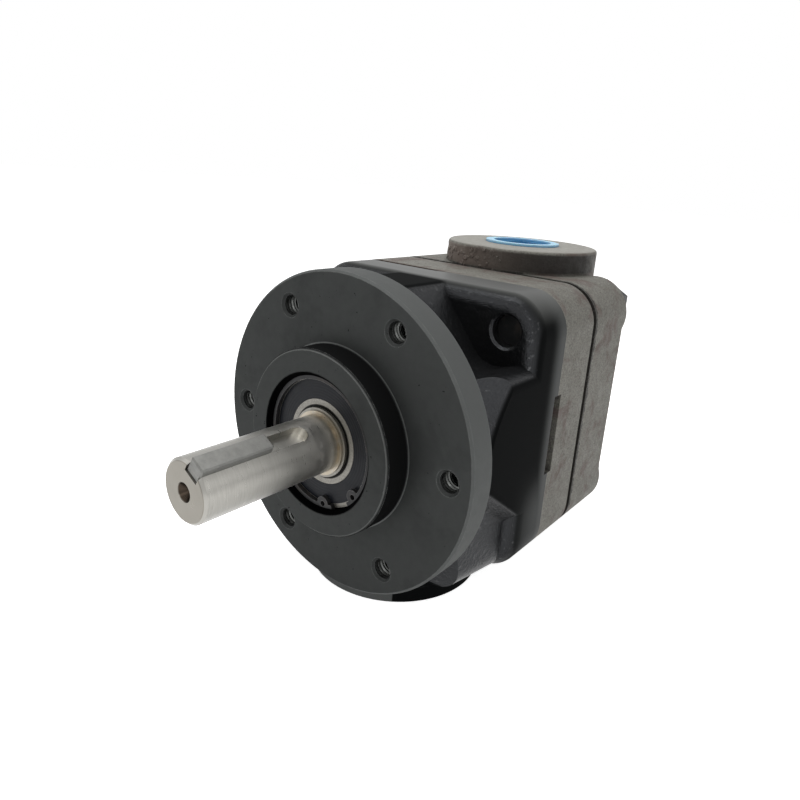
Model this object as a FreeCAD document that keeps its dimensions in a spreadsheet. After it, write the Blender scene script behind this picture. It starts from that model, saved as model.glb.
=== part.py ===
import FreeCAD, Part
import math
import os
import re
import Sketcher
from FreeCAD import Placement, Rotation, Vector

# Hydraulic vane pump with a round six-hole mounting flange, a keyed shaft and two threaded ports.
# The shaft axis is Y and the shaft points to -Y. The flange's mounting face is y = 0, and +Z is up.

DIMENSIONS = [
    ("flange_dia", 128.0, "mounting flange, outside diameter"),
    ("flange_thick", 12.0, "mounting flange, thickness"),
    ("flange_hole_inset", 10.1, "from the flange's rim to the centres of the six tapped holes"),
    ("flange_hole_dia", 8.0, "flange holes, minor diameter of the thread"),
    ("flange_hole_count", 6, "number of flange holes"),
    ("thread_depth", 0.95, "depth of the flange hole's thread, and of its countersink"),
    ("edge_break", 0.8, "bevel on turned edges"),
    ("pilot_dia", 72.8, "pilot boss that centres the pump"),
    ("pilot_height", 11.0, "height of the pilot boss over the flange"),
    ("pilot_mouth", 1.6, "bevel at the mouth of the bearing bore"),
    ("frame_width", 117.4, "width and height of body plate, ring and cover"),
    ("frame_corner", 16.7, "corner radius of body plate, ring and cover"),
    ("body_length", 67.3, "from the flange face to the body's rear face"),
    ("waist_step", 11.0, "from the flange's rim in to the casting behind it"),
    ("waist_flare", 5.5, "first rise of the casting where it leaves the flange"),
    ("waist_flare_length", 6.0, "length of that rise"),
    ("waist_rear_dia", 168.0, "casting behind the flange, where the steep taper ends"),
    ("waist_length", 12.5, "length of the steep taper behind the flange"),
    ("upper_taper_dia", 145.0, "casting at the plate, where the gentle taper of its upper half ends"),
    ("upper_taper_lap", 8.0, "how far the gentle taper reaches below the axis, degrees"),
    ("pocket_back", 44.0, "rear wall of the bolt pockets"),
    ("pocket_root_inset", 22.1, "from the sides of the body in to the root of the upper pockets"),
    ("pocket_root_drop", 30.6, "from the top of the body down to that root"),
    ("pocket_round", 13.0, "hollow rounding of that root"),
    ("ridge_drop", 24.0, "from the top of the body down to the ridge under the upper pockets"),
    ("casting_round", 6.5, "soft outer edges of the cast pockets"),
    ("top_strip", 24.0, "width of the strip between the upper pockets"),
    ("strip_round", 3.0, "soft edges of that strip"),
    ("base_inset", 5.0, "from the sides of the body in to the base at the plate"),
    ("base_spread", 6.0, "how much narrower each side of the base is at the flange"),
    ("base_round", 12.0, "lower edges of the base"),
    ("shoulder_drop", 4.0, "shoulder over the base, below the axis at the flange"),
    ("shoulder_fall", 27.0, "fall of that shoulder towards the plate"),
    ("shoulder_slope", 7.0, "inward slope under the shoulder"),
    ("hollow_round", 4.0, "hollow rounding under the shoulder"),
    ("bolt_inset", 14.3, "from the sides of body, ring and cover to the cover bolts"),
    ("bolt_dia", 12.7, "cover bolt diameter"),
    ("bolt_fit", 0.05, "clearance of a bolt in its thread"),
    ("bolt_hole_play", 0.45, "clearance of a bolt in ring and cover"),
    ("bolt_end_inset", 5.0, "how far the bolt ends short of the pocket"),
    ("bolt_head_flats", 22.2, "cover bolt head across flats"),
    ("bolt_head_height", 8.0, "cover bolt head height"),
    ("bolt_head_bevel", 1.5, "bevel round the top of the bolt head"),
    ("inlet_boss_dia", 76.0, "inlet boss under the body"),
    ("inlet_boss_reach", 69.4, "from the shaft axis down to the inlet boss face"),
    ("inlet_centre", 42.0, "inlet port centre behind the flange face"),
    ("inlet_lip_dia", 79.0, "wide upper step of the inlet boss"),
    ("inlet_lip_height", 3.2, "height of the wide upper step"),
    ("port_dia", 31.2, "both ports, minor diameter of the thread"),
    ("inlet_depth", 42.0, "depth of the inlet port"),
    ("port_bevel", 1.4, "countersink of the ports"),
    ("suction_duct_dia", 9.0, "two ducts from the inlet port to the rotor"),
    ("suction_duct_offset", 12.0, "sideways offset of the ducts"),
    ("suction_duct_drop", 26.0, "offset of the ducts below the shaft axis"),
    ("pry_length", 34.5, "length of the pry slots at the joints"),
    ("pry_width", 5.6, "width of the pry slots"),
    ("pry_depth", 6.0, "depth of the pry slots"),
    ("top_relief_drop", 2.0, "fall of the relief on top of the joint, out at the left side"),
    ("top_relief_length", 2.4, "length of that relief"),
    ("ring_thick", 25.8, "thickness of the cam ring"),
    ("cam_major_dia", 66.8, "cam bore across its wide way"),
    ("cam_minor_dia", 60.8, "cam bore across its narrow way"),
    ("oring_dia", 91.5, "diameter of the face seals' centre line"),
    ("oring_section", 3.0, "section of the sealing rings"),
    ("seat_gap", 0.05, "clearance between assembled pieces"),
    ("dowel_dia", 5.0, "dowel pins"),
    ("dowel_spacing", 76.0, "spacing of the two dowel pins"),
    ("dowel_depth", 8.0, "depth of the dowel holes in the body"),
    ("cover_relief", 3.0, "width of the groove round the cover's joint"),
    ("cover_relief_depth", 2.5, "depth of the groove round the cover's joint"),
    ("cover_side", 34.5, "length of the cover's square part"),
    ("cover_ear_rise", 3.0, "height of the bolt ears over the square part"),
    ("hub_inset", 16.7, "from the sides of the cover in to its round hub"),
    ("hub_end", 73.0, "from the cover's joint to the rear of the hub"),
    ("hub_edge", 10.0, "rounding of the hub's rear edge"),
    ("spot_face_dia", 28.2, "room for a bolt head and its socket beside hub and boss"),
    ("outlet_boss_inset", 21.4, "from the sides of the cover in to the outlet boss"),
    ("outlet_boss_reach", 69.4, "from the shaft axis up to the outlet boss face"),
    ("outlet_boss_overhang", 1.4, "how much of the outlet boss the cover's joint cuts off"),
    ("outlet_boss_edge", 1.6, "rounding of the outlet boss's top edge"),
    ("chamber_dia", 86.3, "pressure plate chamber in the cover"),
    ("chamber_depth", 17.0, "depth of the pressure plate chamber"),
    ("spring_bore_dia", 60.0, "bore behind the pressure plate"),
    ("outlet_chamber_dia", 44.0, "outlet chamber in the cover"),
    ("outlet_chamber_depth", 56.0, "depth of the outlet chamber from the joint"),
    ("shaft_dia", 22.22, "shaft extension"),
    ("shaft_reach", 64.7, "from the flange face to the shaft's end"),
    ("shaft_bevel", 1.0, "bevel at the shaft's end"),
    ("shaft_step", 9.0, "shoulder in front of the bearing, from the flange face"),
    ("journal_dia", 25.0, "shaft at the bearing, seal and needle rollers"),
    ("journal_end", 46.0, "rear end of the journal"),
    ("shaft_neck_dia", 23.2, "shaft between journal and splines"),
    ("centre_hole_dia", 6.8, "centre hole in the shaft's end"),
    ("centre_drill_dia", 2.6, "pilot drill of the centre hole"),
    ("centre_drill_depth", 8.0, "depth of the pilot drill"),
    ("key_width", 6.35, "width of key and keyway"),
    ("key_floor", 7.6, "keyway floor from the shaft axis"),
    ("key_top", 13.5, "top of the key from the shaft axis"),
    ("key_length", 27.2, "length of the key"),
    ("key_inset", 0.5, "from the shaft's end to the key"),
    ("key_bevel", 0.5, "bevel on the key's edges"),
    ("key_fit", 0.02, "clearance of the key in its keyway"),
    ("keyway_end", 20.0, "round end of the keyway, from the flange face"),
    ("key_angle", 30.0, "turn of the keyway from straight up, degrees"),
    ("spline_root_dia", 19.2, "root of the shaft's splines"),
    ("spline_tip_dia", 22.0, "tip of the shaft's splines"),
    ("spline_gap", 2.9, "width of a gap between splines"),
    ("spline_fit", 0.08, "clearance of the splines"),
    ("spline_count", 12, "number of splines"),
    ("spline_start", 64.0, "front end of the splines"),
    ("shaft_tail", 92.0, "rear end of the shaft"),
    ("bearing_od", 52.0, "ball bearing outside diameter"),
    ("bearing_width", 15.0, "ball bearing width"),
    ("bearing_inset", 4.0, "bearing face below the pilot boss face"),
    ("bearing_fit", 0.01, "radial fit of bearing and needle cup"),
    ("inner_ring_od", 33.2, "bearing inner ring, outside diameter"),
    ("outer_ring_bore", 43.8, "bearing outer ring, inside diameter"),
    ("shield_od", 48.6, "bearing shields, outside diameter"),
    ("shield_thick", 0.9, "bearing shields, thickness"),
    ("ball_dia", 7.94, "bearing balls"),
    ("ball_circle", 38.5, "circle of the ball centres"),
    ("ball_count", 9, "number of balls"),
    ("ball_gap", 0.06, "running gap of the balls"),
    ("cage_wall", 1.8, "ball cage, radial thickness"),
    ("cage_width", 10.2, "ball cage, width"),
    ("shaft_ring_dia", 27.0, "snap ring on the shaft, outside diameter"),
    ("shaft_ring_inner", 23.6, "snap ring on the shaft, inside diameter"),
    ("shaft_ring_thick", 1.2, "snap ring on the shaft, thickness"),
    ("bore_ring_dia", 54.2, "snap ring in the bore, outside diameter"),
    ("bore_ring_inner", 49.0, "snap ring in the bore, inside diameter"),
    ("bore_ring_thick", 1.8, "snap ring in the bore, thickness"),
    ("lug_dia", 5.6, "lugs of the bore's snap ring"),
    ("lug_circle", 48.6, "circle of the lug centres"),
    ("lug_hole_dia", 2.2, "plier holes in the lugs"),
    ("lug_angle", 61.0, "middle of the snap ring's gap below the +X side, degrees"),
    ("lug_spread", 21.0, "half angle between the two lugs, degrees"),
    ("seal_od", 42.0, "shaft seal outside diameter"),
    ("seal_width", 7.0, "shaft seal width"),
    ("seal_wall", 0.9, "shaft seal sheet thickness"),
    ("seal_mouth_dia", 32.8, "opening in the front of the seal's case"),
    ("lip_root", 3.2, "seal lip, from the shaft out to its root"),
    ("lip_waist", 2.4, "seal lip, from the shaft out to its spring"),
    ("lip_nose", 0.9, "seal lip, from the shaft out to its tip"),
    ("lip_bevel", 1.2, "seal lip, from the shaft out to its front edge"),
    ("lip_waist_back", 2.8, "seal lip, length of its thin part"),
    ("lip_edge_back", 3.5, "seal lip, from its front to the sealing edge"),
    ("lip_length", 4.9, "seal lip, whole length"),
    ("needle_dia", 2.5, "needle rollers"),
    ("needle_length", 15.6, "length of the needle rollers"),
    ("needle_count", 16, "number of needle rollers"),
    ("needle_cup_od", 32.0, "needle bearing cup, outside diameter"),
    ("needle_front", 23.0, "front face of the needle bearing"),
    ("needle_width", 20.0, "width of the needle bearing"),
    ("needle_cage_wall", 1.1, "needle cage, radial thickness"),
    ("shaft_play", 1.0, "radial room round the shaft in the body"),
    ("rotor_dia", 59.8, "rotor"),
    ("rotor_play", 0.06, "side clearance of the rotor"),
    ("vane_count", 12, "number of vanes"),
    ("vane_thick", 2.0, "vane thickness"),
    ("vane_height", 11.5, "vane height"),
    ("vane_tip_gap", 0.12, "rest clearance of the vane tips at the cam's narrow way"),
    ("vane_travel", 2.6, "inward travel of the vanes"),
    ("vane_fit", 0.03, "side clearance of the vanes in their slots"),
    ("vane_bevel", 0.6, "bevel of the vane tips"),
    ("slot_root_dia", 3.2, "round root of the vane slots"),
    ("plate_dia", 86.0, "pressure plate"),
    ("plate_thick", 15.0, "pressure plate thickness"),
    ("plate_port_dia", 8.0, "outlet ports in the pressure plate"),
    ("plate_port_circle", 56.0, "circle of the outlet ports"),
    ("plate_port_angle", 35.0, "outlet ports in the plate, turn up from the side, degrees"),
    ("plate_groove_depth", 2.55, "depth of the seal groove round the pressure plate"),
    ("plate_recess_dia", 24.0, "recess for the shaft's end in the pressure plate"),
    ("spring_outer_dia", 59.0, "disc spring behind the pressure plate, outside diameter"),
    ("spring_inner_dia", 46.5, "disc spring, inside diameter"),
    ("spring_thick", 1.6, "disc spring, sheet thickness"),
    ("spring_cone", 2.4, "disc spring, height of its cone"),
    ("plug_rim_dia", 36.6, "port plug rim"),
    ("plug_rim_height", 1.1, "port plug rim height"),
    ("plug_depth", 13.0, "port plug depth in the port"),
    ("plug_fit", 0.25, "clearance of the plug in the port"),
    ("plug_opening", 28.6, "round opening at the top of the plug"),
    ("plug_opening_depth", 1.3, "depth of the round opening"),
    ("plug_flats", 23.0, "hexagon recess in the plug, across flats"),
    ("plug_recess_depth", 10.5, "depth of the plug's recess"),
]

doc = FreeCAD.newDocument("hydraulic_pump")
sheet = doc.addObject("Spreadsheet::Sheet", "Size")
for row, (alias, number, remark) in enumerate(DIMENSIONS, start=1):
    sheet.set("A%d" % row, remark)
    sheet.set("B%d" % row, str(number))
    sheet.setAlias("B%d" % row, alias)
doc.recompute()
ALIASES = {alias for alias, _, _ in DIMENSIONS}

# Radius and height of the shaft axis, and stations along it from the flange face
AXIS = "0"
FLANGE_FACE = "0"
FRONT_END = "-shaft_reach"
BEARING_FRONT = "(bearing_inset - pilot_height)"
BEARING_BACK = "(bearing_inset - pilot_height + bearing_width)"
BEARING_MIDDLE = "(bearing_inset - pilot_height + bearing_width / 2)"
COVER_FRONT = "(body_length + ring_thick)"
COVER_SIDE_END = "(body_length + ring_thick + cover_side)"
EAR_FACE = "(body_length + ring_thick + cover_side + cover_ear_rise)"
OUTLET_CENTRE = "(body_length + ring_thick + frame_width / 2 - outlet_boss_inset - outlet_boss_overhang)"
BORE_RING_FRONT = "(bearing_inset - pilot_height - seat_gap - bore_ring_thick)"
SPRING_SEAT = "(body_length + ring_thick + plate_thick + spring_thick + spring_cone + 2 * seat_gap)"
SEAL_BACK = "(bearing_inset - pilot_height + bearing_width + seat_gap + seal_width)"
# A radius outside every casting, for cuts that clear all round
OUTSIDE = "frame_width"
# From the shaft axis to a cover bolt, both sideways and up
BOLT = "(frame_width / 2 - bolt_inset)"
HUB_WALL = "(frame_width / 2 - hub_inset)"


def bound(text):
    """Expression with every alias read from the sheet."""
    return re.sub(r"[a-z][a-z_]*", lambda word: "Size." + word.group() if word.group() in ALIASES
                  else word.group(), text)


def value(text):
    """Present value of an expression."""
    return float(sheet.evalExpression(bound(text)))


def new_body(label):
    body = doc.addObject("PartDesign::Body", label)
    body.Label = label
    return body


def origin_feature(body, role):
    return next(feature for feature in body.Origin.OriginFeatures if feature.Role == role)


def new_sketch(body, name, plane, offset=FLANGE_FACE):
    """Sketch on an origin plane, moved along the plane's normal."""
    sketch = body.newObject("Sketcher::SketchObject", name)
    sketch.AttachmentSupport = [(origin_feature(body, plane), "")]
    sketch.MapMode = "FlatFace"
    sketch.setExpression("AttachmentOffset.Base.z", bound(offset))
    return sketch


def cross_sketch(body, name, station):
    """Sketch across the shaft axis at a station, with X to the right and Z up."""
    return new_sketch(body, name, "XZ_Plane", "-(%s)" % station)


def place_point(sketch, geometry, point, across, up):
    for kind, text in (("DistanceX", across), ("DistanceY", up)):
        constraint = Sketcher.Constraint(kind, -1, 1, geometry, point, value(text))
        number = sketch.addConstraint(constraint)
        sketch.setExpression("Constraints[%d]" % number, bound(text))


def outline(sketch, corners):
    """Closed outline of straight lines through corners given by two expressions each."""
    first = sketch.GeometryCount
    points = [Vector(value(across), value(up), 0) for across, up in corners]
    for start, end in zip(points, points[1:] + points[:1]):
        sketch.addGeometry(Part.LineSegment(start, end), False)
    for number, (across, up) in enumerate(corners):
        before = first + (number - 1) % len(corners)
        sketch.addConstraint(Sketcher.Constraint("Coincident", before, 2, first + number, 1))
        place_point(sketch, first + number, 1, across, up)
    return sketch


def soft_outline(sketch, corners):
    """Closed outline through corners of three expressions: across, up and rounding radius."""
    count = len(corners)
    points = [Vector(value(across), value(up), 0) for across, up, _ in corners]
    arcs = []
    for number, (_, _, rounding) in enumerate(corners):
        here = points[number]
        back = (points[number - 1] - here).normalize()
        ahead = (points[(number + 1) % count] - here).normalize()
        radius = value(rounding)
        half_angle = back.getAngle(ahead) / 2
        centre = here + (back + ahead).normalize() * (radius / math.sin(half_angle))
        reach = radius / math.tan(half_angle)
        arcs.append((centre, radius, here + back * reach, here + ahead * reach, back.cross(ahead).z < 0))
    lines = []
    for number, arc in enumerate(arcs):
        segment = Part.LineSegment(arc[3], arcs[(number + 1) % count][2])
        lines.append(sketch.addGeometry(segment, False))
    for number, (across, up, rounding) in enumerate(corners):
        centre, radius, start, end, leftward = arcs[number]
        ways = [math.atan2(end_point.y - centre.y, end_point.x - centre.x) for end_point in (start, end)]
        if not leftward:
            ways.reverse()
        bend = Part.ArcOfCircle(Part.Circle(centre, Vector(0, 0, 1), radius), ways[0], ways[1])
        arc = sketch.addGeometry(bend, False)
        mark = sketch.addGeometry(Part.Point(points[number]), True)
        place_point(sketch, mark, 1, across, up)
        before, after = lines[number - 1], lines[number]
        sketch.addConstraint(Sketcher.Constraint("PointOnObject", mark, 1, before))
        sketch.addConstraint(Sketcher.Constraint("PointOnObject", mark, 1, after))
        first, last = (1, 2) if leftward else (2, 1)
        sketch.addConstraint(Sketcher.Constraint("Tangent", before, 2, arc, first))
        sketch.addConstraint(Sketcher.Constraint("Tangent", arc, last, after, 1))
        size = sketch.addConstraint(Sketcher.Constraint("Radius", arc, radius))
        sketch.setExpression("Constraints[%d]" % size, bound(rounding))
    return sketch


def circle(sketch, across, up, radius):
    centre = Vector(value(across), value(up), 0)
    number = sketch.addGeometry(Part.Circle(centre, Vector(0, 0, 1), value(radius)), False)
    place_point(sketch, number, 3, across, up)
    size = sketch.addConstraint(Sketcher.Constraint("Radius", number, value(radius)))
    sketch.setExpression("Constraints[%d]" % size, bound(radius))
    return sketch


def rectangle(sketch, left, right, low, high):
    return outline(sketch, [(left, low), (right, low), (right, high), (left, high)])


def corners_of(half):
    """The four corners of a square about the shaft axis, given by half its side."""
    return [(side + half, level + half) for side in ("", "-") for level in ("", "-")]


def extrude(body, kind, name, sketch, length, reverse):
    feature = body.newObject("PartDesign::" + kind, name)
    feature.Profile = sketch
    feature.setExpression("Length", bound(length))
    feature.Reversed = reverse
    body.Tip = feature
    return feature


def pad_back(body, name, sketch, length):
    """Pad of a cross sketch towards the rear."""
    return extrude(body, "Pad", name, sketch, length, True)


def cut_back(body, name, sketch, length):
    """Pocket of a cross sketch towards the rear."""
    return extrude(body, "Pocket", name, sketch, length, False)


def cut_forward(body, name, sketch, length):
    """Pocket of a cross sketch towards the shaft's end."""
    return extrude(body, "Pocket", name, sketch, length, True)


def turn_sketch(body, kind, name, sketch):
    """Revolution or Groove of a sketch about its own upright axis."""
    feature = body.newObject("PartDesign::" + kind, name)
    feature.Profile = sketch
    feature.ReferenceAxis = (sketch, ["V_Axis"])
    feature.Angle = 360
    body.Tip = feature
    return feature


def turn(body, kind, name, corners):
    """Revolution or Groove about the shaft axis of a profile of radius and station."""
    profile = outline(new_sketch(body, name + "_profile", "XY_Plane"), corners)
    return turn_sketch(body, kind, name, profile)


def repeat_round(body, name, feature, count):
    """Copies of a feature round the shaft axis."""
    pattern = body.newObject("PartDesign::PolarPattern", name)
    pattern.Originals = [feature]
    pattern.Axis = (origin_feature(body, "Y_Axis"), [""])
    pattern.Angle = 360
    pattern.setExpression("Occurrences", bound(count))
    body.Tip = pattern
    return pattern


def dress(body, kind, name, size, wanted):
    """Fillet or Chamfer on the edges of the body's tip that a test picks."""
    doc.recompute()
    base = body.Tip
    edges = ["Edge%d" % number for number, edge in enumerate(base.Shape.Edges, start=1)
             if wanted(edge)]
    feature = body.newObject("PartDesign::" + kind, name)
    feature.Base = (base, edges)
    feature.setExpression("Radius" if kind == "Fillet" else "Size", bound(size))
    body.Tip = feature
    return feature


def square_frame(body, name, start, length, step="0"):
    """Square prism with rounded corners that body, ring and cover share, less a step all round."""
    half = "(frame_width / 2 - %s)" % step
    corner = "frame_corner - " + step
    profile = soft_outline(cross_sketch(body, name + "_profile", start), [
        ("-" + half, "-" + half, corner), (half, "-" + half, corner),
        (half, half, corner), ("-" + half, half, corner)])
    return pad_back(body, name, profile, length)


def turned_ring(label, inner, outer, front, back):
    """Plain ring about the shaft axis, given by radii and stations."""
    body = new_body(label)
    turn(body, "Revolution", "ring", [(inner, front), (outer, front), (outer, back), (inner, back)])
    return body


def face_seal_groove(body, name, face, inward):
    """Groove for a face seal; inward is + where the material lies behind the face."""
    depth = "(oring_section + 2 * seat_gap)"
    half = "(oring_section / 2 + seat_gap)"
    floor = "%s %s %s" % (face, inward, depth)
    turn(body, "Groove", name, [
        ("oring_dia / 2 - " + half, face), ("oring_dia / 2 + " + half, face),
        ("oring_dia / 2 + " + half, floor), ("oring_dia / 2 - " + half, floor)])


def pump_body():
    body = new_body("pump_body")
    half = "frame_width / 2"
    square_frame(body, "plate", "pocket_back", "body_length - pocket_back")
    plate_front = value("pocket_back")
    dress(body, "Fillet", "plate_rounding", "casting_round",
          lambda edge: edge.BoundBox.YMax < plate_front + 0.01)

    # Waist between flange and plate: a strip on top, an upper pocket on each side with a soft
    # ridge below it, flanks level with the plate, and a shoulder over the base that falls
    # towards the rear
    sections = []
    for name, station, fall, spread in (
            ("waist_front", "flange_thick", "0", "base_spread"),
            ("waist_rear", "pocket_back + casting_round", "shoulder_fall", "0")):
        right_side = [
            ("frame_width / 2 - base_inset - " + spread, "-" + half, "base_round"),
            ("frame_width / 2 - base_inset - " + spread,
             "-(shoulder_drop + shoulder_slope + %s)" % fall, "hollow_round"),
            (half, "-(shoulder_drop + %s)" % fall, "casting_round"),
            (half, "frame_width / 2 - ridge_drop", "casting_round"),
            ("frame_width / 2 - pocket_root_inset", "frame_width / 2 - pocket_root_drop", "pocket_round"),
            ("top_strip / 2", half, "strip_round")]
        left_side = [("-(%s)" % across, up, rounding) for across, up, rounding in reversed(right_side)]
        sections.append(soft_outline(cross_sketch(body, name, station), right_side + left_side))
    waist = body.newObject("PartDesign::AdditiveLoft", "waist")
    waist.Profile = sections[0]
    waist.Sections = sections[1:]
    waist.Ruled = True
    body.Tip = waist

    # The casting flares out from the flange: steeply all round, and gently above the axis
    root = "flange_dia / 2 - waist_step"
    turn(body, "Groove", "front_taper", [
        (root, "flange_thick"), (OUTSIDE, "flange_thick"), (OUTSIDE, "flange_thick + waist_length"),
        ("waist_rear_dia / 2", "flange_thick + waist_length"),
        (root + " + waist_flare", "flange_thick + waist_flare_length")])
    gentle = outline(new_sketch(body, "upper_taper_profile", "YZ_Plane"), [
        ("flange_thick", root), ("flange_thick + waist_flare_length", root + " + waist_flare"),
        ("pocket_back", "upper_taper_dia / 2"), ("pocket_back", OUTSIDE), ("flange_thick", OUTSIDE)])
    upper_taper = body.newObject("PartDesign::Groove", "upper_taper")
    upper_taper.Profile = gentle
    upper_taper.ReferenceAxis = (gentle, ["H_Axis"])
    upper_taper.Midplane = True
    upper_taper.setExpression("Angle", bound("180 + 2 * upper_taper_lap"))
    body.Tip = upper_taper

    # Mounting flange and pilot boss
    turn(body, "Revolution", "flange", [
        (AXIS, "-pilot_height"),
        ("pilot_dia / 2 - edge_break", "-pilot_height"),
        ("pilot_dia / 2", "edge_break - pilot_height"),
        ("pilot_dia / 2", FLANGE_FACE),
        ("flange_dia / 2 - edge_break", FLANGE_FACE),
        ("flange_dia / 2", "edge_break"),
        ("flange_dia / 2", "flange_thick - edge_break"),
        ("flange_dia / 2 - edge_break", "flange_thick"),
        (AXIS, "flange_thick")])

    # Inlet boss below, cut off level with the rear face
    boss = circle(new_sketch(body, "inlet_boss_outline", "XY_Plane", "-inlet_boss_reach"),
                  AXIS, "inlet_centre", "inlet_boss_dia / 2")
    extrude(body, "Pad", "inlet_boss", boss, "inlet_boss_reach / 2", False)
    lip = circle(new_sketch(body, "inlet_lip_outline", "XY_Plane", "-frame_width / 2 - inlet_lip_height"),
                 AXIS, "inlet_centre", "inlet_lip_dia / 2")
    extrude(body, "Pad", "inlet_lip", lip, "inlet_lip_height * 2", False)
    rear = circle(cross_sketch(body, "rear_face_outline", "body_length"),
                  AXIS, AXIS, OUTSIDE)
    cut_back(body, "rear_face", rear, "inlet_lip_dia / 2")

    # Stepped bore for bearing, seal, needle bearing and shaft
    mouth = "(bearing_od / 2 + bearing_fit + pilot_mouth + edge_break)"
    bearing_wall = "bearing_od / 2 + bearing_fit"
    seal_wall = "seal_od / 2 + bearing_fit"
    cup_wall = "needle_cup_od / 2 + bearing_fit"
    shaft_room = "journal_dia / 2 + shaft_play"
    turn(body, "Groove", "stepped_bore", [
        (AXIS, "-pilot_height - edge_break"),
        (mouth, "-pilot_height - edge_break"),
        (bearing_wall, "pilot_mouth - pilot_height"),
        (bearing_wall, BEARING_BACK),
        (seal_wall, BEARING_BACK),
        (seal_wall, SEAL_BACK + " + seat_gap"),
        (cup_wall, SEAL_BACK + " + seat_gap"),
        (cup_wall, "needle_front + needle_width + seat_gap"),
        (shaft_room, "needle_front + needle_width + seat_gap"),
        (shaft_room, "body_length + edge_break"),
        (AXIS, "body_length + edge_break")])
    turn(body, "Groove", "snap_ring_groove", [
        ("bearing_od / 2", BORE_RING_FRONT + " - seat_gap"),
        ("bore_ring_dia / 2 + seat_gap", BORE_RING_FRONT + " - seat_gap"),
        ("bore_ring_dia / 2 + seat_gap", BEARING_FRONT),
        ("bearing_od / 2", BEARING_FRONT)])

    # Tapped flange holes with countersinks
    for name, radius, taper, length in (
            ("flange_hole", "flange_hole_dia / 2", 0, "flange_thick"),
            ("flange_countersink", "flange_hole_dia / 2 + thread_depth", -45, "thread_depth")):
        hole = circle(cross_sketch(body, name + "_outline", FLANGE_FACE),
                      "flange_dia / 2 - flange_hole_inset", AXIS, radius)
        cut = cut_back(body, name, hole, length)
        cut.TaperAngle = taper
        repeat_round(body, name + "s", cut, "flange_hole_count")

    # Rear face: bolt threads, dowel holes, seal groove, suction ducts and pry slots
    threads = cross_sketch(body, "bolt_thread_outline", "body_length")
    for across, up in corners_of(BOLT):
        circle(threads, across, up, "bolt_dia / 2 + bolt_fit")
    cut_forward(body, "bolt_threads", threads, "body_length - pocket_back - bolt_end_inset + edge_break / 2")
    upper = cross_sketch(body, "open_thread_outline", "body_length")
    for side in ("", "-"):
        circle(upper, side + BOLT, BOLT, "bolt_dia / 2 + bolt_fit")
    cut_forward(body, "open_threads", upper, "body_length - pocket_back + edge_break")
    rims = cross_sketch(body, "open_thread_rim_outline", "pocket_back")
    for side in ("", "-"):
        circle(rims, side + BOLT, BOLT, "bolt_dia / 2 + bolt_fit + thread_depth")
    cut_back(body, "open_thread_rims", rims, "thread_depth").TaperAngle = -45
    dowels = cross_sketch(body, "dowel_outline", "body_length")
    ducts = cross_sketch(body, "duct_outline", "body_length")
    slots = cross_sketch(body, "pry_outline", "body_length")
    for side in ("", "-"):
        circle(dowels, AXIS, side + "dowel_spacing / 2", "dowel_dia / 2 + seat_gap")
        circle(ducts, side + "suction_duct_offset", "-suction_duct_drop", "suction_duct_dia / 2")
        rectangle(slots, side + "(frame_width / 2 - pry_depth)", side + "frame_width",
                  "-pry_length / 2", "pry_length / 2")
    cut_forward(body, "dowel_holes", dowels, "dowel_depth")
    cut_forward(body, "suction_ducts", ducts, "body_length - inlet_centre")
    cut_forward(body, "pry_slots", slots, "pry_width / 2")
    relief = outline(cross_sketch(body, "top_relief_outline", "body_length"), [
        (AXIS, half), ("-frame_width / 2", half), ("-frame_width / 2", "frame_width / 2 - top_relief_drop")])
    cut_forward(body, "top_relief", relief, "top_relief_length")
    face_seal_groove(body, "seal_groove", "body_length", "-")

    # Inlet port with its countersink
    port = circle(new_sketch(body, "inlet_outline", "XY_Plane", "-inlet_boss_reach"),
                  AXIS, "inlet_centre", "port_dia / 2")
    extrude(body, "Pocket", "inlet_port", port, "inlet_depth", True)
    rim = circle(new_sketch(body, "inlet_rim_outline", "XY_Plane", "-inlet_boss_reach"),
                 AXIS, "inlet_centre", "port_dia / 2 + port_bevel")
    extrude(body, "Pocket", "inlet_countersink", rim, "port_bevel", True).TaperAngle = -45
    return body


def cam_ring():
    blank = new_body("cam_ring_blank")
    square_frame(blank, "block", "body_length", "ring_thick")
    holes = cross_sketch(blank, "hole_outline", "body_length")
    for across, up in corners_of(BOLT):
        circle(holes, across, up, "bolt_dia / 2 + bolt_hole_play")
    slots = cross_sketch(blank, "pry_outline", "body_length")
    for side in ("", "-"):
        circle(holes, AXIS, side + "dowel_spacing / 2", "dowel_dia / 2 + seat_gap")
        rectangle(slots, side + "(frame_width / 2 - pry_depth)", side + "frame_width",
                  "-pry_length / 2", "pry_length / 2")
    cut_back(blank, "holes", holes, "ring_thick")
    cut_back(blank, "pry_slots", slots, "pry_width / 2")

    # The cam bore is an ellipse, wide along X
    curve = doc.addObject("Part::Ellipse", "cam_curve")
    curve.setExpression("MajorRadius", bound("cam_major_dia / 2"))
    curve.setExpression("MinorRadius", bound("cam_minor_dia / 2"))
    curve.Placement = Placement(Vector(0, 0, 0), Rotation(Vector(1, 0, 0), 90))
    curve.setExpression("Placement.Base.y", bound("body_length"))
    bore = doc.addObject("Part::Extrusion", "cam_bore")
    bore.Base = curve
    bore.DirMode = "Custom"
    bore.Dir = Vector(0, 1, 0)
    bore.setExpression("LengthFwd", bound("ring_thick"))
    bore.Solid = True
    ring = doc.addObject("Part::Cut", "cam_ring")
    ring.Base = blank
    ring.Tool = bore
    ring.Label = "cam_ring"
    return ring


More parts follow.
